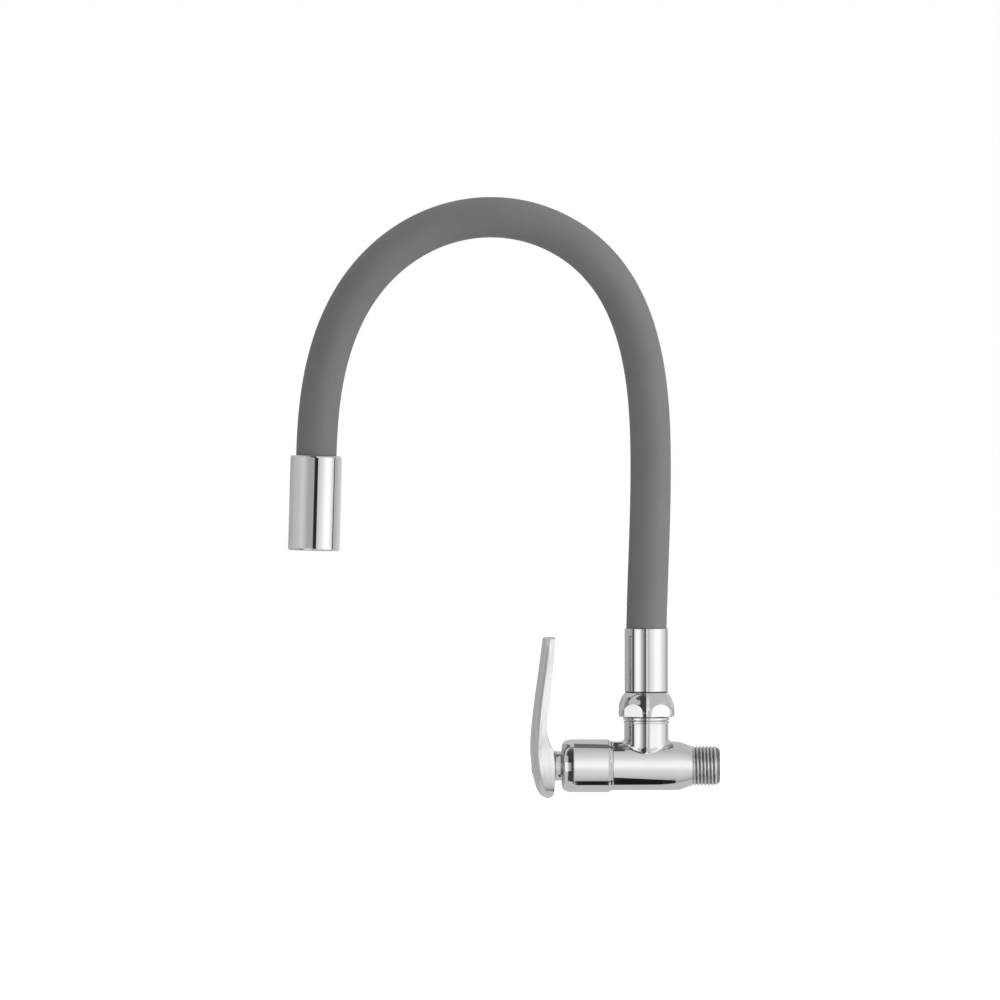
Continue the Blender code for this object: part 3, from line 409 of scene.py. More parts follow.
def arc_corner(before, corner, after, radius):
    """Points and normals of a rounded corner of an outline: (radius, height) pairs."""
    steps = 7
    into = (corner - before).normalized()
    out = (after - corner).normalized()
    turn = math.acos(max(-1.0, min(1.0, into.dot(out))))
    back = radius * math.tan(turn / 2)
    side = 1 if into.x * out.y - into.y * out.x > 0 else -1
    centre = corner - into * back + Vector((-into.y, into.x)) * side * radius
    found = []
    for i in range(steps + 1):
        angle = turn * i / steps * side
        start = corner - into * back - centre
        spoke = Vector(
            (start.x * math.cos(angle) - start.y * math.sin(angle),
             start.x * math.sin(angle) + start.y * math.cos(angle))
        )
        found.append((centre + spoke, spoke.normalized() * side))
    return found


def outline_rings(corners):
    """(radius, height, rounding) corners, walked with the material on the left, as (point, normal) rings.
    Rounding is a radius, 0 for a sharp edge, or None for a point of a smooth curve."""
    spots = [Vector((r, h)) for r, h, _ in corners]

    def across(a, b):
        along = (b - a).normalized()
        return Vector((along.y, -along.x))

    rings = [(spots[0], across(spots[0], spots[1]))]
    for i in range(1, len(spots) - 1):
        before, here, after = spots[i - 1], spots[i], spots[i + 1]
        first, second = across(before, here), across(here, after)
        rounding = corners[i][2]
        if rounding is None:
            rings.append((here, (first + second).normalized()))
        elif rounding:
            rings += arc_corner(before, here, after, rounding)
        else:
            rings += [(here, first), (here, second), None]
    rings.append((spots[-1], across(spots[-2], spots[-1])))
    return rings


def ring_grid(rings):
    """Faces between rings of point numbers. None breaks the skin at a sharp edge."""
    faces = []
    for low, high in zip(rings, rings[1:]):
        if low is None or high is None:
            continue
        count = len(low)
        for i in range(count):
            j = (i + 1) % count
            corners = [low[i], low[j], high[j], high[i]]
            corners = [c for n, c in enumerate(corners) if c not in corners[:n]]
            if len(corners) > 2:
                faces.append(corners)
    return faces


class Skin:
    """Collects points, normals and rings of a mesh."""

    def __init__(self):
        self.points, self.normals, self.rings = [], [], []

    def ring(self, spots, normals):
        first = len(self.points)
        self.points += spots
        self.normals += normals
        self.rings.append(list(range(first, first + len(spots))))

    def turn(self, matrix, corners, segments=ROUND):
        """Spins an outline about the matrix's Z."""
        rotation = matrix.to_3x3()
        entries = outline_rings(corners)
        for n, entry in enumerate(entries):
            if entry is None:
                continue
            (radius, height), (out, up) = entry
            turns = [2 * math.pi * i / segments for i in range(segments)]
            spots = [matrix @ Vector((radius * math.cos(a), radius * math.sin(a), height)) for a in turns]
            normals = [rotation @ Vector((out * math.cos(a), out * math.sin(a), up)) for a in turns]
            self.ring(spots, normals)
            if n + 2 < len(entries) and entries[n + 2] is None:
                self.rings.append(None)

    def piece(self, name, finish, body, replaced=()):
        return piece(name, self.points, ring_grid(self.rings), finish, body, replaced, self.normals)


def turned(name, matrix, corners, finish, body, replaced=(), segments=ROUND):
    skin = Skin()
    skin.turn(matrix, corners, segments)
    return skin.piece(name, finish, body, replaced)


# ---- valve ------------------------------------------------------------------------------------------
def shade_softly(skin, start, end, share):
    """Lets a polished slope of the valve, between two places on its axis, shade with a share of its tilt."""
    axis = VALVE.to_3x3() @ Vector((0, 0, 1))
    place = VALVE.inverted()
    for n, point in enumerate(skin.points):
        if start < (place @ point).z < end:
            normal = skin.normals[n]
            skin.normals[n] = (normal - axis * normal.dot(axis) * (1 - share)).normalized()


def valve_barrel():
    corners = [(BARREL_LIP_R - 1.5 * mm, BARREL_LIP_X, 0), (BARREL_LIP_R, BARREL_LIP_X, 0)]
    corners += [(BARREL_LIP_R, BARREL_END_X, 0), (BARREL_R, BARREL_END_X, 0.2 * mm)]
    corners.append((BARREL_R, TAPER_START_X - EASE, None))
    steps = 20
    for i in range(steps + 1):
        share = 1 - i / steps
        radius = THREAD_R + (BARREL_R - THREAD_R) * math.sin(math.pi / 2 * share)
        corners.append((radius, THREAD_START_X + (TAPER_START_X - THREAD_START_X) * share, None))
    corners.append((THREAD_R - 0.6 * mm, THREAD_START_X + 0.5 * mm, 0))
    skin = Skin()
    skin.turn(VALVE, corners)
    shade_softly(skin, TAPER_START_X - EASE, THREAD_START_X + EASE, TAPER_TILT)
    skin.piece("valve_barrel", CHROME, "valve", ("valve_body",))


def inlet_thread():
    """The male thread as one helical surface with rounded crests and roots, its end chamfer and bore."""
    segments = 144
    rows_per_turn = 20
    skin = Skin()
    length = -THREAD_START_X
    rows = int(length / THREAD_PITCH * rows_per_turn)
    for row in range(rows + 1):
        x = THREAD_START_X + length * row / rows
        run_out = min(1.0, (x - THREAD_START_X) / (1.1 * THREAD_PITCH))
        ring = []
        for i in range(segments):
            angle = 2 * math.pi * i / segments
            turn = (x / THREAD_PITCH - angle / (2 * math.pi)) % 1.0
            flank = 1 - abs(2 * turn - 1)
            groove = 0.5 * flank + 0.5 * flank * flank * (3 - 2 * flank)
            radius = THREAD_R - THREAD_DEPTH * groove * run_out
            end = x + THREAD_CHAMFER
            radius = min(radius, THREAD_R - 0.05 * mm - max(0.0, end) * 0.82)
            ring.append(VALVE @ Vector((radius * math.cos(angle), radius * math.sin(angle), x)))
        skin.ring(ring, [])
    piece("inlet_thread", skin.points, ring_grid(skin.rings), THREAD_CHROME, "valve", ("valve_body",))
    turned(
        "inlet_end",
        VALVE,
        [
            (8.65 * mm, -0.05 * mm, 0),
            (8.5 * mm, 0, 0.12 * mm),
            (INLET_BORE_R, 0, 0.3 * mm),
            (INLET_BORE_R, SEAT_X, 0),
            (3.0 * mm, SEAT_X, 0),
        ],
        CHROME,
        "valve",
        ("valve_body",),
    )


def foot_point(turn, share):
    """A point of the outlet's foot, from the barrel at share 0 up to the post at 1, tangent to both. The
    foot is a small fillet at the sides and a longer blend at the front and back, where both are steep."""
    along, across = math.cos(turn), math.sin(turn)
    steep = across**6
    out = OUTLET_R + OUTLET_FILLET
    reach = BARREL_R + OUTLET_FILLET
    y = across * (out * BARREL_R / reach - FOOT_DROP * steep)
    low = Vector((along * out, y, math.sqrt(BARREL_R**2 - y**2)))
    rise = math.sqrt(reach**2 - (out * across) ** 2)
    high = Vector((along * OUTLET_R, across * OUTLET_R, rise + FOOT_RISE * steep))
    normal = Vector((0, low.y, low.z)) / BARREL_R
    outward = Vector((along, across, 0))
    spread = (outward - normal * normal.dot(outward)).normalized()
    pull = 1.17 * (high - low).length
    t = share
    return (
        low * (1 + 2 * t) * (1 - t) ** 2
        + high * t * t * (3 - 2 * t)
        - spread * pull * t * (1 - t) ** 2
        - Vector((0, 0, 1)) * pull * t * t * (1 - t)
        + normal * 0.01 * mm * (1 - t)
    )


def outlet_post():
    """The outlet: its foot on the barrel, the post and its beaded shoulder."""
    skin = Skin()
    turns = [2 * math.pi * i / ROUND for i in range(ROUND)]
    step = 0.001
    for row in range(15):
        share = row / 14
        normals = []
        for turn in turns:
            round_it = foot_point(turn + step, share) - foot_point(turn - step, share)
            up_it = foot_point(turn, min(share + step, 1)) - foot_point(turn, max(share - step, 0))
            normals.append(round_it.cross(up_it).normalized())
        skin.ring([OUTLET @ foot_point(turn, share) for turn in turns], normals)
    z = OUTLET_SHOULDER_Z
    skin.turn(
        OUTLET,
        [
            (OUTLET_R, z - 3 * mm, None),
            (OUTLET_R, z - 0.25 * mm, 0.2 * mm),
            (OUTLET_R + OUTLET_BEAD, z, 0.3 * mm),
            (OUTLET_R + OUTLET_BEAD, z + 0.95 * mm, 0.3 * mm),
            (OUTLET_R - OUTLET_NECK, z + 1.1 * mm, 0.1 * mm),
            (OUTLET_R - OUTLET_NECK, z + 1.45 * mm, 0),
            (10.0 * mm, z + 1.45 * mm, 0),
        ],
    )
    skin.piece("outlet_post", CHROME, "valve", ("valve_body",))


def bonnet():
    run, draw = BONNET_ROUND
    corners = [
        (BONNET_HOLE_R + 0.4 * mm, BONNET_END_X + 2.6 * mm, 0),
        (BONNET_HOLE_R, BONNET_END_X + 2.3 * mm, 0),
        (BONNET_HOLE_R, BONNET_END_X, 0.2 * mm),
    ]
    steps = 32
    for i in range(steps + 1):
        turn = math.pi / 2 * (1 - i / steps)
        across, along = math.cos(turn) ** (2 / 3), math.sin(turn) ** (2 / 3)
        corners.append((BONNET_R - draw * (1 - across), BONNET_END_X + run * (1 - along), None))
    corners += [
        (BONNET_R, BONNET_END_X + run + EASE, None),
        (BONNET_R, BONNET_SHOULDER_X, 0.5 * mm),
        (*BONNET_NECK, 0.4 * mm),
        (BONNET_FOOT_R, BARREL_END_X - BONNET_GAP, 0.15 * mm),
        (BARREL_LIP_R + 0.4 * mm, BARREL_END_X - BONNET_GAP, 0),
        (BARREL_LIP_R + 0.35 * mm, -60 * mm, 0),
    ]
    corners = [c for n, c in enumerate(corners) if n == 0 or c[:2] != corners[n - 1][:2]]
    skin = Skin()
    skin.turn(VALVE, corners)
    shade_softly(skin, BONNET_SHOULDER_X - 0.8 * mm, BARREL_END_X - EASE, BONNET_TILT)
    skin.piece("bonnet", CHROME, "valve", ("bonnet_cap",))


def washer():
    low, high = NUT_Z - 1.9 * mm, NUT_Z - 0.3 * mm
    turned(
        "outlet_washer",
        OUTLET,
        [
            (WASHER_BORE_R, low, 0),
            (WASHER_R, low, 0.5 * mm),
            (WASHER_R, high, 0.5 * mm),
            (WASHER_BORE_R, high, 0),
        ],
        CHROME,
        "valve",
        ("slip_washer",),
    )


def nut_radius(height):
    return curve_through(NUT_TURNED, height / mm) * mm


def nut():
    """A hexagon whose corners and top are turned away: each flat ends in an arch on the turned surface."""
    skin = Skin()
    segments = 360
    apothem = NUT_FLATS / 2
    edge = 0.16 * mm  # how far each side of the arch's edge the columns keep clear of it
    bevel = 0.09 * mm
    ease = 0.3 * mm
    first = NUT_Z + ease
    last = NUT_TOP_Z - 0.25 * mm
    turns = [2 * math.pi * i / segments for i in range(segments)]

    def arch(reach):
        """Height at which the turned surface is as wide as reach."""
        low, high = NUT_Z, NUT_TOP_Z
        if nut_radius(low) <= reach:
            return low
        for _ in range(40):
            half = (low + high) / 2
            low, high = (half, high) if nut_radius(half) > reach else (low, half)
        return low

    columns = []
    for turn in turns:
        middle = math.radians(60 * round(math.degrees(turn) / 60))  # so a corner points along -Y
        reach = apothem / math.cos(turn - middle)
        top = arch(reach)
        direction = Vector((math.cos(turn), math.sin(turn), 0))
        flat = Vector((math.cos(middle), math.sin(middle), 0))
        column = []

        def add(radius, height, normal):
            column.append((direction * radius + Vector((0, 0, height)), normal))

        def add_turned(height):
            near = 0.05 * mm
            slope = (nut_radius(height + near) - nut_radius(height - near)) / (2 * near)
            add(nut_radius(height), height, (direction - Vector((0, 0, slope))).normalized())

        has_flat = top > NUT_Z + 2 * edge
        radius = reach if has_flat else nut_radius(NUT_Z + edge)
        side = flat if has_flat else direction
        up = Vector((0, 0, 1))
        add(radius - ease, NUT_Z, (side * 0.02 - up).normalized())
        add(radius - bevel, NUT_Z + bevel, (side - up).normalized())
        for i in range(7):
            if has_flat:
                add(reach, first + (top - edge - first) * i / 6, flat)
            else:
                add_turned(first + max(0.0, top + edge - first) * i / 7)
        begin = max(top + edge, NUT_Z + 0.35 * mm)
        steps = 26
        for i in range(steps + 1):
            add_turned(begin + (last - begin) * i / steps)
        add(nut_radius(last) - ease, NUT_TOP_Z, up)
        add(8.0 * mm, NUT_TOP_Z, up)
        columns.append(column)
    for row in range(len(columns[0])):
        skin.ring([OUTLET @ c[row][0] for c in columns], [c[row][1] for c in columns])
    skin.piece("nut", CHROME, "valve", ("swivel_nut",))
    low = NUT_Z + 0.02 * mm
    turned(
        "nut_underside",
        OUTLET,
        [(10.3 * mm, NUT_Z + 1.5 * mm, 0), (10.3 * mm, low, 0), (apothem - 0.05 * mm, low, 0)],
        CHROME,
        "valve",
        ("swivel_nut",),
    )


# ---- lever ------------------------------------------------------------------------------------------
def lever_section(level):
    """Points round the paddle at one height in millimetres: a crowned front, flat sides and a flat back."""
    front = curve_through(LEVER_FRONT, level)
    back = curve_through(LEVER_BACK, level)
    half = curve_through(LEVER_HALF_WIDTH, level)
    inset = 0.0
    ends = ((LEVER_TOP_ROUND, LEVER_TOP_Z - level), (LEVER_BOTTOM_ROUND, level - LEVER_BOTTOM_Z))
    for rounding, away in ends:
        near = min(away, rounding)
        inset += rounding - math.sqrt(rounding**2 - (rounding - near) ** 2)
    front += inset * 0.8
    back -= inset * 0.8
    half -= inset
    thick = back - front
    crown = min(LEVER_CROWN, 0.56 * thick)
    soft = min(0.2, 0.1 * thick, 0.1 * half)
    bend = (half**2 + crown**2) / (2 * crown)
    points = []
    steps = 26
    reach = half - soft * 0.5
    for i in range(steps + 1):
        y = -reach + 2 * reach * i / steps
        points.append((front + bend - math.sqrt(bend**2 - y**2), y))

    def turn_corner(start, corner, end):
        count = 6
        for i in range(1, count):
            t = i / count
            x = start[0] * (1 - t) ** 2 + 2 * corner[0] * t * (1 - t) + end[0] * t * t
            y = start[1] * (1 - t) ** 2 + 2 * corner[1] * t * (1 - t) + end[1] * t * t
            points.append((x, y))

    edge = front + crown
    ease = 0.05  # points this near a corner's end keep the flat runs' shading flat
    first, last = points[0], points[-1]
    low, high = edge + soft * 0.7, back - soft * 1.2
    inner = half - soft * 1.2
    turn_corner(last, (edge, half), (low, half))
    points += [(low, half), (low + ease, half), (high - ease, half), (high, half)]
    turn_corner((high, half), (back, half), (back, inner))
    points += [(back, inner), (back, inner - ease), (back, 0), (back, ease - inner), (back, -inner)]
    turn_corner((back, -inner), (back, -half), (high, -half))
    points += [(high, -half), (high - ease, -half), (low + ease, -half), (low, -half)]
    turn_corner((low, -half), (edge, -half), first)
    return [Vector((x, y, level)) * mm for x, y in points]


def lever():
    span = LEVER_TOP_Z - LEVER_BOTTOM_Z
    steps = 120  # sections lie closer towards the ends
    levels = []
    for i in range(steps + 1):
        share = 0.5 - 0.5 * math.cos(math.pi * i / steps)
        levels.append(LEVER_BOTTOM_Z + span * (0.35 * i / steps + 0.65 * share))
    skin = Skin()
    for level in levels:
        skin.ring(lever_section(level), [])
    faces = ring_grid(skin.rings)
    faces.append(list(reversed(skin.rings[0])))
    faces.append(skin.rings[-1])
    made = piece("lever", skin.points, faces, CHROME, "handle", ("lever_handle",))
    made.data.set_sharp_from_angle(angle=math.radians(60))
    turned(
        "lever_stem",
        VALVE,
        [
            (STEM_R + 1.2 * mm, -85.4 * mm, None),
            (STEM_R + 0.35 * mm, -84.9 * mm, None),
            (STEM_R, -84.1 * mm, None),
            (STEM_R, STEM_END_X, 0.45 * mm),
            (SHAFT_HOLE_R, STEM_END_X, 0.2 * mm),
            (SHAFT_HOLE_R, STEM_END_X - 3 * mm, 0),
        ],
        CHROME,
        "handle",
        ("lever_handle",),
    )
    front = curve_through(LEVER_FRONT, 0) * mm
    turned(
        "lever_plug",
        VALVE,
        [
            (PLUG_R, front + 0.95 * mm, 0),
            (PLUG_R, front + 0.4 * mm, 0.25 * mm),
            (PLUG_R - 0.9 * mm, front + 0.12 * mm, None),
            (PLUG_R - 2.2 * mm, front + 0.02 * mm, None),
            (0.01 * mm, front - 0.05 * mm, None),
        ][::-1],
        CHROME,
        "handle",
        ("handle_plug",),
        64,
    )


# ---- spout ------------------------------------------------------------------------------------------
def ferrule():
    turned(
        "ferrule",
        OUTLET,
        [
            (FERRULE_BORE_R, FERRULE_Z, 0),
            (FERRULE_R, FERRULE_Z, 0.35 * mm),
            (FERRULE_R, FERRULE_TOP_Z, 0.25 * mm),
            (FERRULE_R - 0.5 * mm, FERRULE_TOP_Z, 0.15 * mm),
            (FERRULE_R - 0.5 * mm, FERRULE_TOP_Z - 12 * mm, 0),
        ],
        CHROME,
        "spout_base",
        ("lower_ferrule",),
    )
    # painted shade: a black ring in the gap between the nut and the ferrule stands in for the gap's shadow line
    turned(
        "ferrule_bedding",
        OUTLET,
        [
            (FERRULE_BORE_R, NUT_TOP_Z + 0.03 * mm, 0),
            (FERRULE_R - 0.3 * mm, NUT_TOP_Z + 0.03 * mm, 0.05 * mm),
            (FERRULE_R - 0.3 * mm, FERRULE_Z + 0.05 * mm, 0),
        ],
        RUBBER,
        "spout_base",
    )


NECK_PIECES = (
    # where the piece starts, where its bending starts and ends, its end, and the two bodies it spans
    (None, 10, 66, 70, "spout_base", "neck_riser"),
    (70, 74, 128, 135, "neck_riser", "neck_shoulder"),
    (135, 190, 280, 300, "neck_shoulder", "neck_crown"),
    (300, 304, 356, 360, "neck_crown", "neck_drop"),
    (360, 364, 416, None, "neck_drop", "spray_end"),
)


def neck_tube(name, node, ends, outer, inner, segments, step, finish):
    """A tube along the neck in five still pieces, split at the stations that NECK_PIECES gives."""
    start, end = ends
    for number, (low, bend_low, bend_high, high, first, second) in enumerate(NECK_PIECES, 1):
        low = start if low is None else low * mm
        high = end if high is None else high * mm
        count = max(2, round((high - low) / step))
        stations = [low + (high - low) * i / count for i in range(count + 1)]
        skin = Skin()
        for radius, places in ((outer, stations), (inner, stations[::-1])):
            for station in places:
                centre, along = neck_point(station)
                side = Vector((0, 1, 0))
                up = along.cross(side)
                turns = [2 * math.pi * i / segments for i in range(segments)]
                skin.ring([centre + (side * math.cos(a) - up * math.sin(a)) * radius for a in turns], [])
        rings = skin.rings
        if number == 1:
            rings = rings + rings[:1]
        if number < len(NECK_PIECES):
            middle = count + 1
            rings = rings[:middle] + [None] + rings[middle:]
        made = piece(f"{name}_{number}", skin.points, ring_grid(rings), finish, None, (node,))
        made.data.set_sharp_from_angle(angle=math.radians(50))
        neck_point(bend_low * mm)[0]
        neck_point(bend_high * mm)[0]
        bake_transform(made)


# ---- spray head -------------------------------------------------------------------------------------
def head():
    """Heights run down the head's axis, so the outline is walked from its lower inside up to its top."""
    inner = HEAD_R - HEAD_WALL
    top_hole = SLEEVE_R + 0.35 * mm
    turned(
        "spray_head",
        HEAD,
        [
            (top_hole, 3.5 * mm, 0),
            (top_hole, 0, 0.3 * mm),
            (HEAD_R, 0, HEAD_EDGE),
            (HEAD_R, HEAD_LENGTH, HEAD_EDGE),
            (inner, HEAD_LENGTH, 0.4 * mm),
            (inner, 30 * mm, 0),
        ],
        CHROME,
        "spray_end",
        ("head_shell",),
    )


def aerator():
    """The aerator's rim and its moulded outlet grid: round-edged bars on a square pitch."""
    turned(
        "aerator_rim",
        HEAD,
        [
            (GRID_R, 33 * mm, 0),
            (RIM_R, 33 * mm, 0),
            (RIM_R, 48.4 * mm, 0.35 * mm),
            (GRID_R, 48.4 * mm, 0.5 * mm),
            (GRID_R, 45 * mm, 0),
        ],
        GREY_PLASTIC,
        "spray_end",
        ("aerator_housing",),
    )
    points, faces = [], []
    half = GRID_BAR / 2
    low, high = GRID_HEIGHTS
    shoulder = high - 0.12 * mm
    profile = ((-half, low), (-half, shoulder), (-half / 2, high))
    profile += tuple((-across, height) for across, height in reversed(profile))
    count = int(GRID_R / GRID_PITCH)
    for number in range(-count, count + 1):
        offset = number * GRID_PITCH
        reach = math.sqrt(GRID_R**2 - offset**2)
        for swap in (False, True):
            first = len(points)
            for end in (-reach, reach):
                for across, height in profile:
                    x, y = (offset + across, end) if not swap else (end, offset + across)
                    points.append(HEAD @ Vector((x, y, height)))
            size = len(profile)
            for i in range(size):
                j = (i + 1) % size
                faces.append([first + i, first + j, first + size + j, first + size + i])
    made = piece("aerator_grid", points, faces, GREY_PLASTIC, "spray_end", ("outlet_grid",))
    made.data.set_sharp_from_angle(angle=math.radians(50))


# ---- stage ------------------------------------------------------------------------------------------
def glowing(name, build):
    """A stage material that only glows, as bright as it should look in the chrome. build sets its colour."""
    made = bpy.data.materials.new(name)
    made.use_nodes = True
    tree = made.node_tree
    tree.nodes.clear()
    glow = tree.nodes.new("ShaderNodeEmission")
    glow.inputs["Strength"].default_value = 1 / CHROME_SHARE
    out = tree.nodes.new("ShaderNodeOutputMaterial")
    tree.links.new(glow.outputs[0], out.inputs["Surface"])
    build(tree, glow.inputs["Color"])
    return made


def only_reflected(made):
    """The stage's reflectors show only in glossy reflections, as cards beside a camera do."""
    for kind in ("camera", "diffuse", "shadow", "transmission", "volume_scatter"):
        setattr(made, f"visible_{kind}", False)


def reflector(name, points, faces, build):
    data = bpy.data.meshes.new(name)
    data.from_pydata(points, [], faces)
    data.materials.append(glowing(name, build))
    made = bpy.data.objects.new(name, data)
    bpy.context.scene.collection.objects.link(made)
    only_reflected(made)


def strip(name, edges, build):
    """A reflector between pairs of points."""
    faces = [[2 * i, 2 * i + 1, 2 * i + 3, 2 * i + 2] for i in range(len(edges) - 1)]
    reflector(name, [point for pair in edges for point in pair], faces, build)


def even(level):
    """Sets a glow to one grey."""

    def build(tree, colour):
        colour.default_value = (level, level, level, 1)

    return build


def ramp_of(tree, source, stops):
    """Greys by (place, level) stops."""
    node = tree.nodes.new("ShaderNodeValToRGB")
    ramp = node.color_ramp
    while len(ramp.elements) < len(stops):
        ramp.elements.new(0.5)
    for element, (place, level) in zip(ramp.elements, stops):
        element.position = place
        element.color = (level, level, level, 1)
    tree.links.new(source, node.inputs["Fac"])
    return node.outputs["Color"]


def maths(tree, operation, *values):
    """A Math node fed by numbers and outputs."""
    node = tree.nodes.new("ShaderNodeMath")
    node.operation = operation
    for socket, value in zip(node.inputs, values):
        if isinstance(value, (int, float)):
            socket.default_value = value
        else:
            tree.links.new(value, socket)
    return node.outputs[0]


def place_in(tree):
    """The X and Z of the shaded point, and its -Y, which runs towards the camera."""
    split = tree.nodes.new("ShaderNodeSeparateXYZ")
    tree.links.new(tree.nodes.new("ShaderNodeNewGeometry").outputs["Position"], split.inputs[0])
    x, y, z = split.outputs
    return x, z, maths(tree, "MULTIPLY", y, -1.0)


# How bright the studio looks in the chrome, by azimuth in degrees: 0 is towards the camera, 90 towards +X.
STUDIO_ROUND = (
    (-180, 0.42), (-148, 0.34), (-125, 0.38), (-101, 0.46), (-77, 0.5), (-61, 0.58), (-46, 0.5),
    (-33, 0.37), (-12, 0.35), (0, 0.4), (9, 0.52), (18, 0.62), (32, 0.76), (45, 0.96), (60, 1.05),
    (70, 0.92), (81, 0.72), (93, 0.58), (106, 0.38), (121, 0.5), (142, 0.54), (160, 0.6), (180, 0.42),
)
# The reflector round the foot of the spout, by azimuth from the spout's axis.
LOW_WALL_LEFT = (
    (-150, 0.36), (-120, 0.35), (-102, 0.4), (-97, 0.34), (-82, 0.32), (-77, 0.05), (-70, 0.05), (-66, 0.55),
    (-61, 0.75), (-55, 0.9), (-43, 0.96), (-37, 0.85), (-32, 0.7), (-27, 0.55), (-22, 0.4), (-16, 0.26),
    (-12, 0.2),
)
LOW_WALL_RIGHT = (
    (9, 0.45), (15, 0.6), (24, 0.73), (40, 0.86), (47, 0.98), (72, 0.96), (79, 0.86), (86, 0.76), (93, 0.68),
    (109, 0.6), (119, 0.4), (131, 0.3), (145, 0.55), (155, 0.5),
)
# The strip in front of the valve, by elevation in degrees.
STRIP_LEVELS = (
    (-87, 0.2), (-75, 0.28), (-63, 0.45), (-52, 0.53), (-37, 0.61), (-22, 0.69), (-13, 0.78), (-5, 0.88),
    (2, 0.93), (15, 0.88), (25, 0.76), (35, 0.66), (50, 0.58), (60, 0.52), (75, 0.45), (92, 0.42),
)


TENT_R = 4
TENT_TOP = 0.47  # its level overhead and underneath
FRONT_R = 2.2
CAMERA_R = 2.15
NEAR_R = 0.06
WALL_R = 0.35
WALL_TOP_Z = 0.092
FLOOR_Z = -0.3
CARD_Z = 0.1  # cards this high darken the top of the valve
DARK = 0.045
VIEW_RISE = 2.7  # degrees: the camera is this far above the valve, so what its middle shows lies this far up


def studio_tent():
    """A wide tent with a soft box at the camera's right and graded greys elsewhere, even grey overhead."""
    bpy.ops.mesh.primitive_uv_sphere_add(segments=64, ring_count=32, radius=TENT_R)
    made = bpy.context.object
    made.name = "studio_tent"

    def build(tree, colour):
        x, z, front = place_in(tree)
        share = maths(tree, "MULTIPLY_ADD", maths(tree, "ARCTAN2", x, front), 1 / (2 * math.pi), 0.5)
        around = ramp_of(tree, share, [((a + 180) / 360, v) for a, v in STUDIO_ROUND])
        rise = maths(tree, "ABSOLUTE", maths(tree, "DIVIDE", z, TENT_R))
        lift = ramp_of(tree, rise, [(0, 0.0), (0.2, 0.0), (0.55, 1.0), (1, 1.0)])
        mix = tree.nodes.new("ShaderNodeMix")
        mix.data_type = "RGBA"
        tree.links.new(lift, mix.inputs["Factor"])
        tree.links.new(around, mix.inputs[6])
        mix.inputs[7].default_value = (TENT_TOP, TENT_TOP, TENT_TOP, 1)
        tree.links.new(mix.outputs[2], colour)

    made.data.materials.append(glowing("studio_tent", build))
    only_reflected(made)


def band(name, low_x, high_x, radius, low_angle, high_angle, levels=STRIP_LEVELS):
    """A strip of a cylinder about the X axis in front of the valve, graded by elevation."""
    steps = 48
    edges = []
    for i in range(steps + 1):
        angle = math.radians(low_angle + (high_angle - low_angle) * i / steps)
        edges.append([(x, -radius * math.cos(angle), radius * math.sin(angle)) for x in (low_x, high_x)])

    def build(tree, colour):
        _, z, front = place_in(tree)
        share = maths(tree, "MULTIPLY_ADD", maths(tree, "ARCTAN2", z, front), 1 / math.pi, 0.5)
        stops = [(max(0, min(1, (a + VIEW_RISE + 90) / 180)), v) for a, v in levels]
        tree.links.new(ramp_of(tree, share, stops), colour)

    strip(name, edges, build)


def dark_band(name, low_x, low_angle, high_angle):
    """A part of the dark strip beside the camera, which ends where the front strip starts."""
    band(name, low_x, -0.09, CAMERA_R, low_angle, high_angle, ((-87, DARK), (92, DARK)))


def wall(name, low_z, levels):
    """A reflector round the spout's foot, graded by azimuth as seen from the spout's axis."""
    steps = 60
    edges = []
    first, last = levels[0][0], levels[-1][0]
    for i in range(steps + 1):
        angle = math.radians(first + (last - first) * i / steps)
        x, y = SPOUT_X + WALL_R * math.sin(angle), -WALL_R * math.cos(angle)
        edges.append([(x, y, z) for z in (low_z, WALL_TOP_Z)])

    def build(tree, colour):
        x, _, front = place_in(tree)
        span = tree.nodes.new("ShaderNodeMapRange")
        angle = maths(tree, "ARCTAN2", maths(tree, "SUBTRACT", x, SPOUT_X), front)
        tree.links.new(angle, span.inputs["Value"])
        span.inputs["From Min"].default_value = math.radians(first)
        span.inputs["From Max"].default_value = math.radians(last)
        stops = [((a - first) / (last - first), v) for a, v in levels]
        tree.links.new(ramp_of(tree, span.outputs["Result"], stops), colour)

    strip(name, edges, build)


def dome_part(name, radius, first, last, low, high, level):
    """A reflector on part of a sphere round the spout's foot, between two azimuths and two elevations."""
    count = 16
    points, faces = [], []
    for i in range(count + 1):
        azimuth = math.radians(first + (last - first) * i / count)
        for j in range(count + 1):
            rise = math.radians(low + (high - low) * j / count)
            out = radius * math.cos(rise)
            x, y = SPOUT_X + out * math.sin(azimuth), -out * math.cos(azimuth)
            points.append((x, y, radius * math.sin(rise)))
    for i in range(count):
        for j in range(count):
            corner = i * (count + 1) + j
            faces.append([corner, corner + count + 1, corner + count + 2, corner + 1])
    reflector(name, points, faces, even(level))


def upright_card(name, x_range, y, z_range, level):
    """A flat reflector that faces the camera's way."""
    (x0, x1), (z0, z1) = x_range, z_range
    reflector(name, [(x0, y, z0), (x1, y, z0), (x1, y, z1), (x0, y, z1)], [(0, 1, 2, 3)], even(level))


def level_card(name, z, spots, level):
    """A flat reflector at one height."""
    reflector(name, [(x, y, z) for x, y in spots], [tuple(range(len(spots)))], even(level))


def backdrop_rays(tree):
    """1 for a ray that shows the backdrop: from the camera, or by way of metal or glass."""
    path = tree.nodes.new("ShaderNodeLightPath").outputs
    seen = maths(tree, "MAXIMUM", path["Is Camera Ray"], path["Is Glossy Ray"])
    return maths(tree, "MAXIMUM", seen, path["Is Transmission Ray"])


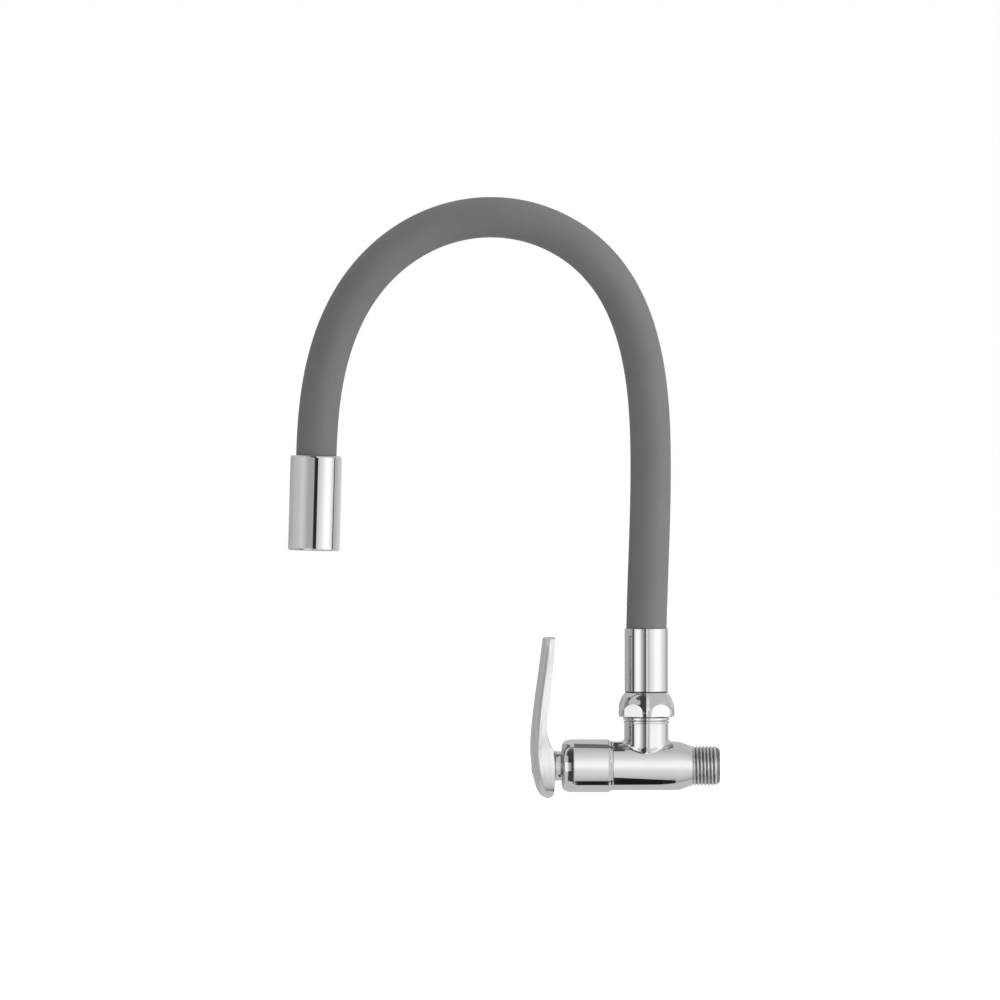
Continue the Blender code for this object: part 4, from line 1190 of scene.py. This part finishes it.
def floor_and_world():
    bpy.ops.mesh.primitive_plane_add(size=40, location=(0, 0, FLOOR_Z))
    floor = bpy.context.object
    floor.name = "floor"
    floor.visible_glossy = False
    made = bpy.data.materials.new("floor")
    made.use_nodes = True
    tree = made.node_tree
    shader = tree.nodes["Principled BSDF"]
    shader.inputs["Base Color"].default_value = (0.9, 0.9, 0.9, 1)
    shader.inputs["Roughness"].default_value = 1.0
    shader.inputs["Specular IOR Level"].default_value = 0.0
    shader.inputs["Emission Color"].default_value = (1, 1, 1, 1)
    glow = maths(tree, "MULTIPLY", backdrop_rays(tree), 0.7)
    tree.links.new(glow, shader.inputs["Emission Strength"])
    floor.data.materials.append(made)

    world = bpy.data.worlds.new("studio")
    bpy.context.scene.world = world
    world.use_nodes = True
    tree = world.node_tree
    back = tree.nodes["Background"]
    back.inputs["Color"].default_value = (1, 1, 1, 1)
    strength = maths(tree, "MULTIPLY_ADD", backdrop_rays(tree), 0.45, 0.55)
    tree.links.new(strength, back.inputs["Strength"])


def stage():
    floor_and_world()
    studio_tent()
    band("front_strip", -0.088, 0.088, FRONT_R, -78, 85)
    band("front_strip_right", 0.088, 0.36, FRONT_R, 19, 85)
    band("end_strip", -0.021, 0.012, NEAR_R, -75, 32)
    band("end_strip_right", 0.012, 0.05, NEAR_R, -75, 19)
    dark_band("camera_strip_low", -1.0, -70, 1)
    dark_band("camera_strip_middle", -0.38, 1, 7)
    dark_band("camera_strip_high", -1.0, 7, 70)
    dome_part("upper_left_card", 2.6, -60, -1, 42, 84, 0.1)
    upright_card("head_card", (-0.217, -0.15), -0.3, (0.1, 0.19), 0.02)
    upright_card("spout_card", (-0.46, -0.09), -2.12, (-0.09, 0.04), 0.13)
    wall("low_wall_left", -0.12, LOW_WALL_LEFT)
    wall("low_wall_right", -0.01, LOW_WALL_RIGHT)
    for name, spots in (
        ("bonnet_floor_card", ((-0.071, -0.131), (-0.0505, -0.131), (-0.0505, -0.006), (-0.071, -0.006))),
        ("barrel_floor_card", ((-0.0495, -0.23), (-0.025, -0.15), (-0.006, -0.095), (0.016, -0.11),
                               (0.016, -0.08), (-0.006, -0.07), (-0.022, 0.03), (-0.0495, 0.04))),
        ("stem_floor_card", ((-0.083, -0.12), (-0.077, -0.12), (-0.077, -0.04), (-0.083, -0.04))),
    ):
        level_card(name, FLOOR_Z, spots, 0.01)
    for name, level, spots in (
        ("bonnet_card", 0.13, ((-0.075, -0.014), (-0.052, -0.02), (-0.052, 0.02), (-0.075, 0.035))),
        ("shoulder_card", 0.06, ((-0.0545, -0.035), (-0.047, -0.035), (-0.044, 0.12), (-0.0545, 0.12))),
    ):
        level_card(name, CARD_Z, spots, level)


def lamp(name, place, aim, size, power):
    data = bpy.data.lights.new(name, "AREA")
    data.shape = "RECTANGLE"
    data.size, data.size_y = size
    data.energy = power
    made = bpy.data.objects.new(name, data)
    made.location = place
    made.rotation_euler = (Vector(aim) - Vector(place)).to_track_quat("-Z", "Y").to_euler()
    made.visible_glossy = False
    bpy.context.scene.collection.objects.link(made)


def lights():
    middle = (-0.11, 0, 0.14)
    lamp("right_light", (1.5, -0.5, 0.3), middle, (1.4, 1.6), 21)
    lamp("front_light", (0.1, -2.0, 0.5), middle, (1.8, 1.4), 7)
    lamp("top_light", (-0.1, -0.1, 2.0), middle, (2.0, 2.0), 13)


# ---- camera -----------------------------------------------------------------------------------------
VIEW_WIDTH = 0.516
VIEW_CENTRE = Vector((-0.11326, 0, 0.13715))


def camera():
    data = bpy.data.cameras.new("camera")
    data.sensor_width = 36
    data.lens = 200
    distance = VIEW_WIDTH / 2 / (data.sensor_width / 2 / data.lens)
    made = bpy.data.objects.new("camera", data)
    made.location = VIEW_CENTRE + Vector((0, -distance, 0))
    made.rotation_euler = (math.radians(90), 0, 0)
    data.clip_end = 60
    bpy.context.scene.collection.objects.link(made)
    bpy.context.scene.camera = made


valve_barrel()
inlet_thread()
outlet_post()
bonnet()
washer()
nut()
lever()
ferrule()
neck_tube("sleeve", "silicone_sleeve", SLEEVE_ENDS, SLEEVE_R, SLEEVE_BORE_R, 64, 2.5 * mm, SILICONE)
neck_tube("water_tube_length", "water_tube", TUBE_ENDS, TUBE_R, TUBE_BORE_R, 16, 6 * mm, WHITE_PLASTIC)
head()
aerator()
stage()
lights()
camera()
bpy.context.scene.view_settings.view_transform = "Standard"
